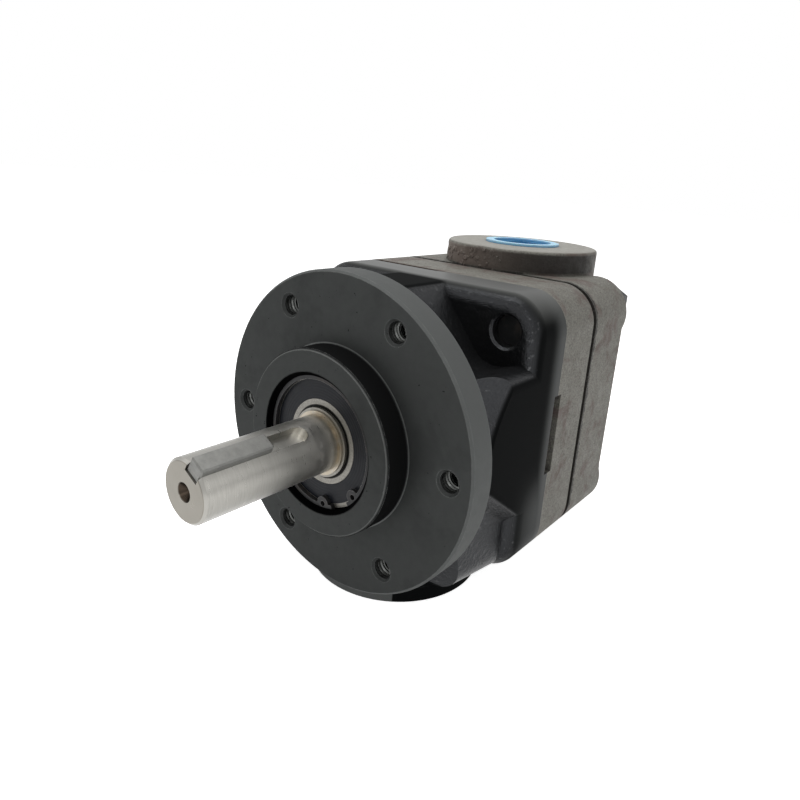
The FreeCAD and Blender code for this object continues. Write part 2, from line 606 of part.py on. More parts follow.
def rear_cover():
    body = new_body("rear_cover")
    square_frame(body, "block", COVER_FRONT + " + cover_relief", "cover_side - cover_relief")
    square_frame(body, "joint_face", COVER_FRONT, "cover_relief", "cover_relief_depth")

    ears = cross_sketch(body, "ear_outline", COVER_SIDE_END + " - cover_side / 2")
    for across, up in corners_of("(frame_width / 2 - frame_corner)"):
        circle(ears, across, up, "frame_corner")
    pad_back(body, "ears", ears, "cover_side / 2 + cover_ear_rise")

    # Hub with a rounded rear edge, and the outlet boss that stands on it
    turn(body, "Revolution", "hub", [
        (AXIS, COVER_FRONT + " + cover_side / 2"),
        (HUB_WALL, COVER_FRONT + " + cover_side / 2"),
        (HUB_WALL, COVER_FRONT + " + hub_end"),
        (AXIS, COVER_FRONT + " + hub_end")])
    hub_end = value(COVER_FRONT + " + hub_end")
    dress(body, "Fillet", "hub_rounding", "hub_edge", lambda edge: edge.BoundBox.YMin > hub_end - 0.01)
    boss = circle(new_sketch(body, "outlet_boss_outline", "XY_Plane"),
                  AXIS, OUTLET_CENTRE, "frame_width / 2 - outlet_boss_inset")
    extrude(body, "Pad", "outlet_boss", boss, "outlet_boss_reach", False)
    front = circle(cross_sketch(body, "front_face_outline", COVER_FRONT),
                   AXIS, AXIS, OUTSIDE)
    cut_forward(body, "front_face", front, "ring_thick")
    spots = cross_sketch(body, "spot_face_outline", EAR_FACE)
    for side in ("", "-"):
        circle(spots, side + BOLT, BOLT, "spot_face_dia / 2")
    cut_back(body, "spot_faces", spots, "hub_end - cover_side")
    boss_top = value("outlet_boss_reach")
    dress(body, "Fillet", "outlet_boss_rounding", "outlet_boss_edge",
          lambda edge: edge.BoundBox.ZMin > boss_top - 0.01)

    # Chambers for pressure plate, spring and outlet oil
    turn(body, "Groove", "chambers", [
        (AXIS, COVER_FRONT),
        ("chamber_dia / 2", COVER_FRONT),
        ("chamber_dia / 2", COVER_FRONT + " + chamber_depth"),
        ("spring_bore_dia / 2", COVER_FRONT + " + chamber_depth"),
        ("spring_bore_dia / 2", SPRING_SEAT),
        ("outlet_chamber_dia / 2", SPRING_SEAT),
        ("outlet_chamber_dia / 2", COVER_FRONT + " + outlet_chamber_depth"),
        (AXIS, COVER_FRONT + " + outlet_chamber_depth")])
    face_seal_groove(body, "seal_groove", COVER_FRONT, "+")
    holes = cross_sketch(body, "hole_outline", COVER_FRONT)
    for across, up in corners_of(BOLT):
        circle(holes, across, up, "bolt_dia / 2 + bolt_hole_play")
    cut_back(body, "bolt_holes", holes, "cover_side + cover_ear_rise")
    port = circle(new_sketch(body, "outlet_outline", "XY_Plane", "outlet_boss_reach"),
                  AXIS, OUTLET_CENTRE, "port_dia / 2")
    extrude(body, "Pocket", "outlet_port", port, "outlet_boss_reach", False)
    rim = circle(new_sketch(body, "outlet_rim_outline", "XY_Plane", "outlet_boss_reach"),
                 AXIS, OUTLET_CENTRE, "port_dia / 2 + port_bevel")
    extrude(body, "Pocket", "outlet_countersink", rim, "port_bevel", False).TaperAngle = -45
    return body


def cover_bolts():
    body = new_body("cover_bolts")
    heads = cross_sketch(body, "head_outline", EAR_FACE)
    shanks = cross_sketch(body, "shank_outline", EAR_FACE)
    for across, up in corners_of(BOLT):
        reach = "bolt_head_flats / 2 / cos(30)"
        outline(heads, [("%s + %s * cos(%d)" % (across, reach, angle),
                         "%s + %s * sin(%d)" % (up, reach, angle)) for angle in range(30, 360, 60)])
        circle(shanks, across, up, "bolt_dia / 2")
    pad_back(body, "heads", heads, "bolt_head_height")
    head_top = value(EAR_FACE + " + bolt_head_height")
    dress(body, "Chamfer", "head_bevels", "bolt_head_bevel",
          lambda edge: edge.BoundBox.YMin > head_top - 0.01)
    shank_end = "(pocket_back + bolt_end_inset)"
    extrude(body, "Pad", "shanks", shanks, "%s - %s" % (EAR_FACE, shank_end), False)
    return body


def dowel_pins():
    body = new_body("dowel_pins")
    start = "body_length - dowel_depth + seat_gap"
    pins = cross_sketch(body, "pin_outline", start)
    for side in ("", "-"):
        circle(pins, AXIS, side + "dowel_spacing / 2", "dowel_dia / 2")
    pad_back(body, "pins", pins, "dowel_depth - seat_gap + ring_thick + plate_thick / 2")
    return body


def drive_shaft():
    body = new_body("drive_shaft")
    radius = "shaft_dia / 2"
    turn(body, "Revolution", "turned_form", [
        (AXIS, FRONT_END),
        (radius + " - shaft_bevel", FRONT_END),
        (radius, FRONT_END + " + shaft_bevel"),
        (radius, "-shaft_step"),
        ("journal_dia / 2", "-shaft_step"),
        ("journal_dia / 2", "journal_end"),
        ("shaft_neck_dia / 2", "journal_end"),
        ("shaft_neck_dia / 2", "spline_start"),
        ("spline_tip_dia / 2", "spline_start"),
        ("spline_tip_dia / 2", "shaft_tail"),
        (AXIS, "shaft_tail")])
    turn(body, "Groove", "centre_hole", [
        (AXIS, FRONT_END),
        ("centre_hole_dia / 2", FRONT_END),
        ("centre_drill_dia / 2", FRONT_END + " + (centre_hole_dia - centre_drill_dia) / 2 / tan(30)"),
        ("centre_drill_dia / 2", FRONT_END + " + centre_drill_depth"),
        (AXIS, FRONT_END + " + centre_drill_depth")])
    ring_back = BEARING_FRONT + " - seat_gap"
    turn(body, "Groove", "snap_ring_groove", [
        ("shaft_ring_inner / 2 - seat_gap", ring_back + " - shaft_ring_thick - seat_gap"),
        ("journal_dia / 2 + edge_break", ring_back + " - shaft_ring_thick - seat_gap"),
        ("journal_dia / 2 + edge_break", ring_back + " + seat_gap"),
        ("shaft_ring_inner / 2 - seat_gap", ring_back + " + seat_gap")])

    # Keyway, open at the shaft's end, with a round rear end
    round_end = "-keyway_end - key_width / 2"
    slot = rectangle(new_sketch(body, "keyway_outline", "XY_Plane", "key_floor"),
                     "-key_width / 2", "key_width / 2", FRONT_END + " - edge_break", round_end)
    extrude(body, "Pocket", "keyway", slot, "shaft_dia / 2", True)
    end = circle(new_sketch(body, "keyway_end_outline", "XY_Plane", "key_floor"),
                 AXIS, round_end, "key_width / 2")
    extrude(body, "Pocket", "keyway_round_end", end, "shaft_dia / 2", True)

    gap = rectangle(cross_sketch(body, "spline_outline", "spline_start"),
                    "-spline_gap / 2", "spline_gap / 2", "spline_root_dia / 2", "journal_dia / 2")
    cut = cut_back(body, "spline_gap", gap, "shaft_tail - spline_start")
    repeat_round(body, "splines", cut, "spline_count")
    body.Placement = Placement(Vector(0, 0, 0), Rotation(Vector(0, 1, 0), value("key_angle")))
    body.setExpression("Placement.Rotation.Angle", bound("key_angle"))
    return body


def shaft_key():
    body = new_body("shaft_key")
    side = "(key_width / 2 - key_fit)"
    front = FRONT_END + " + key_inset"
    blank = rectangle(new_sketch(body, "key_outline", "XY_Plane", "key_floor + key_fit"),
                      "-" + side, side, front, front + " + key_length")
    extrude(body, "Pad", "blank", blank, "key_top - key_floor - key_fit", False)
    dress(body, "Chamfer", "bevels", "key_bevel", lambda edge: True)
    body.Placement = Placement(Vector(0, 0, 0), Rotation(Vector(0, 1, 0), value("key_angle")))
    body.setExpression("Placement.Rotation.Angle", bound("key_angle"))
    return body


def snap_rings():
    # Open ring with two plier lugs that holds the bearing in its bore
    bore = new_body("bore_snap_ring")
    annulus = circle(cross_sketch(bore, "ring_outline", BORE_RING_FRONT),
                     AXIS, AXIS, "bore_ring_dia / 2")
    circle(annulus, AXIS, AXIS, "bore_ring_inner / 2")
    pad_back(bore, "ring", annulus, "bore_ring_thick")
    lugs = cross_sketch(bore, "lug_outline", BORE_RING_FRONT)
    holes = cross_sketch(bore, "lug_hole_outline", BORE_RING_FRONT)
    for turn_way in ("-", "+"):
        angle = "(-lug_angle %s lug_spread)" % turn_way
        place = ("lug_circle / 2 * cos(%s)" % angle, "lug_circle / 2 * sin(%s)" % angle)
        circle(lugs, place[0], place[1], "lug_dia / 2")
        circle(holes, place[0], place[1], "lug_hole_dia / 2")
    pad_back(bore, "lugs", lugs, "bore_ring_thick")
    edge = "(lug_spread / 2)"
    gap = outline(cross_sketch(bore, "gap_outline", BORE_RING_FRONT), [
        (AXIS, AXIS),
        ("bore_ring_dia * cos(-lug_angle - %s)" % edge, "bore_ring_dia * sin(-lug_angle - %s)" % edge),
        ("bore_ring_dia * cos(-lug_angle + %s)" % edge, "bore_ring_dia * sin(-lug_angle + %s)" % edge)])
    cut_back(bore, "gap", gap, "bore_ring_thick")
    cut_back(bore, "lug_holes", holes, "bore_ring_thick")

    shaft = turned_ring("shaft_snap_ring", "shaft_ring_inner / 2", "shaft_ring_dia / 2",
                        BEARING_FRONT + " - seat_gap - shaft_ring_thick", BEARING_FRONT + " - seat_gap")
    return [bore, shaft]


def ball_bearing():
    race = "(ball_dia / 2 + ball_gap)"
    step = "(shield_thick + seat_gap)"
    outer = new_body("bearing_outer_ring")
    turn(outer, "Revolution", "ring", [
        ("bearing_od / 2", BEARING_FRONT), ("bearing_od / 2", BEARING_BACK),
        ("shield_od / 2 + seat_gap", BEARING_BACK),
        ("shield_od / 2 + seat_gap", "%s - %s" % (BEARING_BACK, step)),
        ("outer_ring_bore / 2", "%s - %s" % (BEARING_BACK, step)),
        ("outer_ring_bore / 2", "%s + %s" % (BEARING_FRONT, step)),
        ("shield_od / 2 + seat_gap", "%s + %s" % (BEARING_FRONT, step)),
        ("shield_od / 2 + seat_gap", BEARING_FRONT)])
    inner = turned_ring("bearing_inner_ring", "journal_dia / 2 + bearing_fit", "inner_ring_od / 2",
                        BEARING_FRONT, BEARING_BACK)
    for ring in (outer, inner):
        profile = circle(new_sketch(ring, "race_outline", "XY_Plane"),
                         "ball_circle / 2", BEARING_MIDDLE, race)
        turn_sketch(ring, "Groove", "race", profile)

    balls = new_body("bearing_balls")
    ball = balls.newObject("PartDesign::AdditiveSphere", "ball")
    ball.AttachmentSupport = [(origin_feature(balls, "XY_Plane"), "")]
    ball.MapMode = "FlatFace"
    ball.setExpression("Radius", bound("ball_dia / 2"))
    ball.setExpression("AttachmentOffset.Base.y", bound(BEARING_MIDDLE))
    ball.setExpression("AttachmentOffset.Base.z", bound("ball_circle / 2"))
    repeat_round(balls, "balls", ball, "ball_count")

    cage = turned_ring("bearing_cage", "(ball_circle - cage_wall) / 2", "(ball_circle + cage_wall) / 2",
                       BEARING_MIDDLE + " - cage_width / 2", BEARING_MIDDLE + " + cage_width / 2")
    pocket = circle(new_sketch(cage, "pocket_outline", "XY_Plane"),
                    AXIS, BEARING_MIDDLE, "ball_dia / 2 + ball_gap")
    cut = extrude(cage, "Pocket", "pocket", pocket, "ball_circle", True)
    repeat_round(cage, "pockets", cut, "ball_count")

    bore = "inner_ring_od / 2 + 3 * seat_gap"
    front = turned_ring("bearing_front_shield", bore, "shield_od / 2",
                        BEARING_FRONT, BEARING_FRONT + " + shield_thick")
    rear = turned_ring("bearing_rear_shield", bore, "shield_od / 2",
                       BEARING_BACK + " - shield_thick", BEARING_BACK)
    return [outer, inner, balls, cage, front, rear]


def shaft_seal():
    front = "(%s + seat_gap)" % BEARING_BACK
    case = new_body("seal_case")
    turn(case, "Revolution", "case", [
        ("seal_od / 2", front), ("seal_od / 2", SEAL_BACK),
        ("seal_od / 2 - seal_wall", SEAL_BACK),
        ("seal_od / 2 - seal_wall", front + " + seal_wall"),
        ("seal_mouth_dia / 2", front + " + seal_wall"),
        ("seal_mouth_dia / 2", front)])
    lip = new_body("seal_lip")
    touch = "journal_dia / 2 + seat_gap"
    behind = front + " + seal_wall + seat_gap"
    turn(lip, "Revolution", "lip", [
        ("seal_od / 2 - seal_wall - seat_gap", behind),
        ("seal_od / 2 - seal_wall - seat_gap", behind + " + seal_wall"),
        (touch + " + lip_root", behind + " + seal_wall"),
        (touch + " + lip_waist", behind + " + lip_waist_back"),
        (touch + " + lip_waist", behind + " + lip_length"),
        (touch + " + lip_nose", behind + " + lip_length"),
        (touch, behind + " + lip_edge_back"),
        (touch + " + lip_bevel", behind)])
    over_waist = touch + " + lip_waist"
    spring_front = behind + " + lip_edge_back"
    spring = turned_ring("seal_spring", over_waist + " + seat_gap", over_waist + " + seal_wall",
                         spring_front, spring_front + " + seal_wall")
    return [case, lip, spring]


def needle_bearing():
    circle_radius = "(journal_dia / 2 + bearing_fit + needle_dia / 2)"
    wall_inside = "(journal_dia / 2 + 2 * bearing_fit + needle_dia)"
    cup = turned_ring("needle_cup", wall_inside, "needle_cup_od / 2",
                      "needle_front", "needle_front + needle_width")
    margin = "(needle_width - needle_length) / 2"
    rollers = new_body("needle_rollers")
    end = circle(cross_sketch(rollers, "roller_outline", "needle_front + " + margin),
                 AXIS, circle_radius, "needle_dia / 2")
    roller = pad_back(rollers, "roller", end, "needle_length")
    repeat_round(rollers, "rollers", roller, "needle_count")
    cage = turned_ring("needle_cage", circle_radius + " - needle_cage_wall / 2",
                       circle_radius + " + needle_cage_wall / 2",
                       "needle_front + seat_gap", "needle_front + needle_width - seat_gap")
    window = rectangle(new_sketch(cage, "window_outline", "XY_Plane"),
                       "-needle_dia / 2 - seat_gap", "needle_dia / 2 + seat_gap",
                       "needle_front + %s - seat_gap" % margin,
                       "needle_front + needle_width - %s + seat_gap" % margin)
    cut = extrude(cage, "Pocket", "window", window, "journal_dia", True)
    repeat_round(cage, "windows", cut, "needle_count")
    return [cup, rollers, cage]


PLATE_GROOVE = "(plate_dia / 2 - plate_groove_depth)"
VANE_TIP = "(cam_minor_dia / 2 - vane_tip_gap)"
SLOT_FLOOR = "(cam_minor_dia / 2 - vane_tip_gap - vane_height - vane_travel)"


def rotor():
    body = new_body("rotor")
    front = "body_length + rotor_play"
    length = "ring_thick - 2 * rotor_play"
    turn(body, "Revolution", "disc", [
        ("spline_tip_dia / 2 + spline_fit", front), ("rotor_dia / 2", front),
        ("rotor_dia / 2", "%s + %s" % (front, length)),
        ("spline_tip_dia / 2 + spline_fit", "%s + %s" % (front, length))])
    half = "(vane_thick / 2 + vane_fit)"
    slot = rectangle(cross_sketch(body, "slot_outline", front), "-" + half, half,
                     SLOT_FLOOR, "rotor_dia / 2 + edge_break")
    repeat_round(body, "vane_slots", cut_back(body, "vane_slot", slot, length), "vane_count")
    root = circle(cross_sketch(body, "root_outline", front), AXIS, SLOT_FLOOR, "slot_root_dia / 2")
    repeat_round(body, "slot_roots", cut_back(body, "slot_root", root, length), "vane_count")
    tooth = rectangle(cross_sketch(body, "tooth_outline", front),
                      "-spline_gap / 2 + spline_fit", "spline_gap / 2 - spline_fit",
                      "spline_root_dia / 2 + spline_fit", "spline_tip_dia / 2 + edge_break")
    repeat_round(body, "teeth", pad_back(body, "tooth", tooth, length), "spline_count")
    body.Placement = Placement(Vector(0, 0, 0), Rotation(Vector(0, 1, 0), value("key_angle")))
    body.setExpression("Placement.Rotation.Angle", bound("key_angle"))
    return body


def vanes():
    made = []
    for number in range(int(value("vane_count"))):
        body = new_body("vane_%02d" % (number + 1))
        side = "vane_thick / 2"
        low = "cam_minor_dia / 2 - vane_tip_gap - vane_height"
        section = outline(cross_sketch(body, "section", "body_length + rotor_play"), [
            ("-" + side, low), (side, low), (side, VANE_TIP + " - vane_bevel"),
            (side + " - vane_bevel", VANE_TIP), ("-" + side + " + vane_bevel / 2", VANE_TIP),
            ("-" + side, VANE_TIP + " - vane_bevel / 2")])
        pad_back(body, "blade", section, "ring_thick - 2 * rotor_play")
        turned = "key_angle + %d * 360 / vane_count" % number
        body.Placement = Placement(Vector(0, 0, 0), Rotation(Vector(0, 1, 0), value(turned)))
        body.setExpression("Placement.Rotation.Angle", bound(turned))
        made.append(body)
    return made


def pressure_plate():
    body = new_body("pressure_plate")
    front = COVER_FRONT
    middle = front + " + plate_thick / 2"
    turn(body, "Revolution", "disc", [
        (AXIS, front + " + plate_thick / 3"),
        ("plate_recess_dia / 2", front + " + plate_thick / 3"),
        ("plate_recess_dia / 2", front), ("plate_dia / 2", front),
        ("plate_dia / 2", middle + " - oring_section / 2 - seat_gap"),
        (PLATE_GROOVE, middle + " - oring_section / 2 - seat_gap"),
        (PLATE_GROOVE, middle + " + oring_section / 2 + seat_gap"),
        ("plate_dia / 2", middle + " + oring_section / 2 + seat_gap"),
        ("plate_dia / 2", front + " + plate_thick"),
        (AXIS, front + " + plate_thick")])
    holes = cross_sketch(body, "dowel_outline", front)
    ports = cross_sketch(body, "port_outline", front)
    for side in ("", "-"):
        circle(holes, AXIS, side + "dowel_spacing / 2", "dowel_dia / 2 + seat_gap")
        circle(ports, side + "plate_port_circle / 2 * cos(plate_port_angle)",
               side + "plate_port_circle / 2 * sin(plate_port_angle)", "plate_port_dia / 2")
    cut_back(body, "dowel_holes", holes, "plate_thick / 2 + seat_gap")
    cut_back(body, "outlet_ports", ports, "plate_thick")
    return body


def sealing_rings():
    """Square-cut sealing rings in the joint faces and round the pressure plate."""
    half = "oring_section / 2"
    made = []
    for label, front in (("body_seal_ring", "(body_length - oring_section - seat_gap)"),
                         ("cover_seal_ring", "(body_length + ring_thick + seat_gap)")):
        made.append(turned_ring(label, "oring_dia / 2 - " + half, "oring_dia / 2 + " + half,
                                front, front + " + oring_section"))
    middle = COVER_FRONT + " + plate_thick / 2"
    made.append(turned_ring("plate_seal_ring", PLATE_GROOVE + " + seat_gap", "chamber_dia / 2 - seat_gap",
                            middle + " - " + half, middle + " + " + half))
    return made


def plate_spring():
    """Disc spring between the pressure plate and its seat in the cover."""
    body = new_body("plate_spring")
    front = "(body_length + ring_thick + plate_thick + seat_gap)"
    inner = "spring_inner_dia / 2"
    outer = "spring_outer_dia / 2"
    turn(body, "Revolution", "cone", [
        (inner, front), (outer, front + " + spring_cone"),
        (outer, front + " + spring_cone + spring_thick"), (inner, front + " + spring_thick")])
    return body


def port_plug():
    body = new_body("port_plug")
    top = "outlet_boss_reach + plug_rim_height"
    wall = "port_dia / 2 - plug_fit"
    form = outline(new_sketch(body, "plug_profile", "XZ_Plane"), [
        (AXIS, "outlet_boss_reach - plug_depth"),
        (wall + " - edge_break", "outlet_boss_reach - plug_depth"),
        (wall, "outlet_boss_reach - plug_depth + edge_break"),
        (wall, "outlet_boss_reach"), ("plug_rim_dia / 2", "outlet_boss_reach"),
        ("plug_rim_dia / 2", top), (AXIS, top)])
    turn_sketch(body, "Revolution", "turned_form", form)
    mouth = circle(new_sketch(body, "mouth_outline", "XY_Plane", top),
                   AXIS, AXIS, "plug_opening / 2")
    extrude(body, "Pocket", "mouth", mouth, "plug_opening_depth", False)
    reach = "plug_flats / 2 / cos(30)"
    hexagon = outline(new_sketch(body, "hexagon_outline", "XY_Plane", top), [
        ("%s * cos(%d)" % (reach, angle), "%s * sin(%d)" % (reach, angle)) for angle in range(0, 360, 60)])
    extrude(body, "Pocket", "hexagon", hexagon, "plug_recess_depth", False)
    body.setExpression("Placement.Base.y", bound(OUTLET_CENTRE))
    return body


def build():
    return ([pump_body(), cam_ring(), rear_cover(), cover_bolts(), dowel_pins(), drive_shaft(), shaft_key()]
            + snap_rings() + ball_bearing() + shaft_seal() + needle_bearing() + [rotor()] + vanes()
            + [pressure_plate()] + sealing_rings() + [plate_spring(), port_plug()])


REMOVES = ("PartDesign::Pocket", "PartDesign::Groove")


def check(parts):
    """Stops the build at a failed object, a cut that removes nothing or a faulty shape."""
    for item in doc.Objects:
        if "Invalid" in item.State or "Error" in item.State:
            raise RuntimeError("%s failed: %s" % (item.Name, item.State))
        if item.TypeId in REMOVES and item.Shape.Volume > item.BaseFeature.Shape.Volume - 0.1:
            raise RuntimeError("%s cuts nothing" % item.Name)
    for part in parts:
        if part.Shape.isNull() or not part.Shape.isValid():
            raise RuntimeError("%s has no valid shape" % part.Label)


parts = build()
doc.recompute()
check(parts)
os.makedirs("parts", exist_ok=True)
for part in parts:
    part.Shape.exportStep("parts/%s.step" % part.Label)
    print("%-22s %2d solids %10.1f mm3" % (part.Label, len(part.Shape.Solids), part.Shape.Volume))
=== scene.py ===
import math
import bpy
from mathutils import Matrix, Vector


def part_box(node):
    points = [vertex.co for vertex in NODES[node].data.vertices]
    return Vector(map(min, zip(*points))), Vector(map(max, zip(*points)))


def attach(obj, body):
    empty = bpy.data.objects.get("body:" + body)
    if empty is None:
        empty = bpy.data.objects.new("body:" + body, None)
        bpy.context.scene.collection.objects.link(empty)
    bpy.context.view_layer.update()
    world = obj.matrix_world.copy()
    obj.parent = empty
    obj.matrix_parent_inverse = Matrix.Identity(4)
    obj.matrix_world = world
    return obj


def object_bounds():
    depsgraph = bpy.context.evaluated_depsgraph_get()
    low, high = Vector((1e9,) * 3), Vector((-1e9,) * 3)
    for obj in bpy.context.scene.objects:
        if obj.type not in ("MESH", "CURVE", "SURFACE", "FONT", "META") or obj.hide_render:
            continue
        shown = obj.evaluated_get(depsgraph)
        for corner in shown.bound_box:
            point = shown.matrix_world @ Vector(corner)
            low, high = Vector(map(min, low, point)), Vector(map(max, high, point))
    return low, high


bl_info = {
    "name": "Hydraulic Pump Finish",
    "version": (1, 0, 0),
    "blender": (4, 5, 0),
    "location": "View3D > Sidebar > Pump",
    "description": "Finishes, threads, casting crumbs and studio for a hydraulic vane pump",
    "category": "Object",
}

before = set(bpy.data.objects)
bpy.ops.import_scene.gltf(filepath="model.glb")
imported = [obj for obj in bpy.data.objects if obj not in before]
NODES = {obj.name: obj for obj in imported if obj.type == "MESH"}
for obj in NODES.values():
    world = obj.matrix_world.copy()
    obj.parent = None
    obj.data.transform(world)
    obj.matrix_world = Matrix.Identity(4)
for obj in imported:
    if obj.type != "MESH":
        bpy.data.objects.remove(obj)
CAD_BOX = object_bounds()
BODY = "housing"
RING_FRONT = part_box("cam_ring")[0].y
RING_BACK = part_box("rear_cover")[0].y
FRAME_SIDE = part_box("cam_ring")[1].x
FLANGE_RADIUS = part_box("pump_body")[1].x
PILOT_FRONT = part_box("pump_body")[0].y
BOSS_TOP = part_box("rear_cover")[1].z
SHAFT_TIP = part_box("drive_shaft")[0].y
SNAP_RING_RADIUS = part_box("shaft_snap_ring")[1].x
PLUG_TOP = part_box("port_plug")[1].z
PUMP_MIDDLE = Vector((0.0, 0.04, 0.0))
FLANGE_HOLES = 6
JOINT_SEED = 5
BOSS_SEED = 11


# Settings

def tint(name, description, default):
    """A colour."""
    return bpy.props.FloatVectorProperty(
        name=name, description=description, size=3, default=default, subtype="COLOR",
    )


def length(name, description, default):
    """A length in metres."""
    return bpy.props.FloatProperty(
        name=name, description=description, default=default, unit="LENGTH",
    )


def angle(name, description, degrees):
    """An angle."""
    return bpy.props.FloatProperty(
        name=name, description=description, default=math.radians(degrees), subtype="ANGLE",
        unit="ROTATION",
    )


def number(name, description, default):
    """A plain number that isn't negative."""
    return bpy.props.FloatProperty(name=name, description=description, default=default, min=0.0)


class PumpStageSettings(bpy.types.PropertyGroup):
    camera_place: bpy.props.FloatVectorProperty(
        name="Camera place", description="Where the camera stands",
        default=(0.16169, -0.16299, 0.09853), subtype="TRANSLATION", unit="LENGTH",
    )
    camera_yaw: angle("Yaw", "Turn of the view to the left of straight back", 36.874)
    camera_pitch: angle("Pitch", "Downward tilt of the view", 16.835)
    camera_roll: angle("Roll", "Turn of the picture about its middle", 4.3385)
    lens: bpy.props.FloatProperty(
        name="Lens", description="Focal length for a 36 mm sensor",
        default=28.73, unit="CAMERA",
    )
    shift: bpy.props.FloatVectorProperty(
        name="Shift", description="Sideways and upward shift of the lens",
        size=2, default=(-0.0277, -0.0385),
    )
    backdrop: tint("Backdrop", "Colour of the floor and the backdrop", (1.0, 1.0, 1.0))
    surround: number("Surround", "Level of the light from all round", 0.30)
    floor_glow: bpy.props.FloatProperty(
        name="Floor glow", description="Share of the floor's white that isn't lamp light",
        default=0.86, min=0.0, max=1.0,
    )
    floor_gap: length("Floor gap", "Room between the lowest face and the floor", 0.0004)
    floor_reach: length("Floor reach", "Distance from the middle to the floor's edge", 6.0)


class PumpCastingSettings(bpy.types.PropertyGroup):
    paint: tint("Paint", "Black of the cast skin", (0.0075, 0.0080, 0.0082))
    # Painted sheen beside the ring and a painted reflection of the floor low on the flank.
    painted_flank_sheen: tint("Flank sheen", "Painted sheen and floor reflection on the flanks", (0.070, 0.073, 0.072))
    # Painted light on the upward faces of the plate.
    painted_top_light: tint("Top light", "Painted light on top of the plate", (0.105, 0.108, 0.103))
    lacquer: tint("Lacquer", "Wet-looking paint in the bolt pockets", (0.034, 0.035, 0.037))
    # Painted glints on the sand grains in the pockets.
    painted_glint: tint("Sand glints", "Painted glints on sand grains in the bolt pockets", (0.20, 0.205, 0.21))
    turned: tint("Turned face", "Darkened machined face of the flange", (0.060, 0.063, 0.062))
    speck: tint("Speck", "Dark spots on the turned face", (0.004, 0.004, 0.005))
    # Painted sheen: the flange rim is lighter than the face.
    rim: tint("Rim sheen", "Painted sheen on the turned rim of the flange", (0.115, 0.120, 0.118))
    # Painted shade on the side of the pilot boss.
    painted_pilot_shade: tint("Pilot shade", "Painted shade on the side of the pilot boss", (0.010, 0.0102, 0.0104))
    # Painted highlight on the pilot boss's bevel.
    painted_pilot_highlight: tint("Pilot highlight", "Painted highlight on the bevel of the pilot boss", (0.13, 0.134, 0.131))
    # Painted shade inside the bearing bore.
    bore: tint("Bore", "Painted shade on the wall of the bearing bore", (0.0012, 0.0012, 0.0013))
    worn: tint("Worn edge", "Metal that shows at rubbed edges", (0.23, 0.24, 0.235))
    turned_depth: length("Turned depth", "Where the turned flange ends behind its face", 0.0121)
    pilot_radius: length("Pilot radius", "Radius of the pilot boss", 0.0364)
    bore_radius: length("Bore radius", "Radius of the bearing bore's mouth", 0.0277)
    plate_depth: length("Plate depth", "Where the plate begins behind the flange face", 0.044)
    # Reaches of the painted sheen beside the ring and of the painted floor reflection.
    sheen_reach: length("Sheen reach", "Width of the painted sheen beside the ring", 0.012)
    reflection_reach: length("Reflection reach", "Width of the painted floor reflection low on the flank", 0.030)
    grain: length("Grain", "Sand grain of the cast skin", 0.00055)


class PumpIronSettings(bpy.types.PropertyGroup):
    bare: tint("Bare iron", "Grey iron of ring and cover", (0.186, 0.180, 0.158))
    rust: tint("Rust", "Purple-brown bloom on the iron", (0.098, 0.066, 0.058))
    # Lit copy of the skin; iron_colour paints a shaded copy towards the right.
    skin: tint("Cast skin", "Brown skin on the side of the outlet boss", (0.165, 0.132, 0.112))
    faced: tint("Faced iron", "Milled top of the outlet boss", (0.33, 0.32, 0.29))
    seam: tint("Seam", "Brown line where the ring meets the body", (0.055, 0.032, 0.022))
    soot: tint("Soot", "Black dirt in the cover's joint", (0.012, 0.011, 0.010))
    # Painted shade in corners, from ambient occlusion.
    hollow_shade: tint("Hollow shade", "Painted shade in corners", (0.010, 0.009, 0.008))
    pit: tint("Pit", "Small dark pits", (0.03, 0.022, 0.018))
    grain: length("Grain", "Salt-and-pepper grain of the iron", 0.00075)
    groove_width: length("Groove width", "Sooty groove in the cover's joint", 0.0026)
    fringe_width: length("Fringe width", "Ragged dirt beside the groove", 0.0066)
    boss_near: length("Boss near", "Where the boss's skin begins to fade", 0.122)
    boss_far: length("Boss far", "Where the boss's skin has faded", 0.148)


class PumpSteelSettings(bpy.types.PropertyGroup):
    ground: tint("Ground steel", "Shaft", (0.335, 0.327, 0.303))
    spot: tint("Spot", "Brown spots on the shaft", (0.17, 0.125, 0.095))
    straw: tint("Straw tint", "Warm tint at the shaft's shoulder", (0.34, 0.27, 0.17))
    # Painted shade: the end face of the shaft is darker than its side.
    painted_end_shade: tint("End shade", "Painted shade on the shaft's end face", (0.205, 0.193, 0.168))
    centre_drill: tint("Centre drill", "Wall of the centre hole", (0.050, 0.038, 0.029))
    key: tint("Key steel", "Matt steel of the key", (0.20, 0.20, 0.19))
    bearing: tint("Bearing steel", "Bearing rings, rotor and pins", (0.235, 0.226, 0.205))
    # Painted shadow in the gap beside the snap ring.
    painted_gap_shadow: tint("Gap shadow", "Painted shadow in the gap by the shaft's snap ring", (0.008, 0.008, 0.007))
    blackened: tint("Blackened steel", "Bolts and the bore's snap ring", (0.026, 0.026, 0.027))
    bloom: tint("Bloom", "Rust bloom on blackened steel", (0.075, 0.062, 0.052))
    rubbed: tint("Rubbed steel", "Edges of blackened steel", (0.22, 0.215, 0.21))
    thread: tint("Thread", "Rubbed crests of the cut threads", (0.15, 0.155, 0.15))
    bronze: tint("Bronze", "Pressure plate and ball cage", (0.50, 0.34, 0.14))
    shoulder: length("Shoulder", "Where the shaft's shoulder begins", -0.0105)
    stained: length("Stained", "Where the shaft's spots begin", -0.030)
    drill_radius: length("Drill radius", "Radius of the centre hole's mouth", 0.0033)


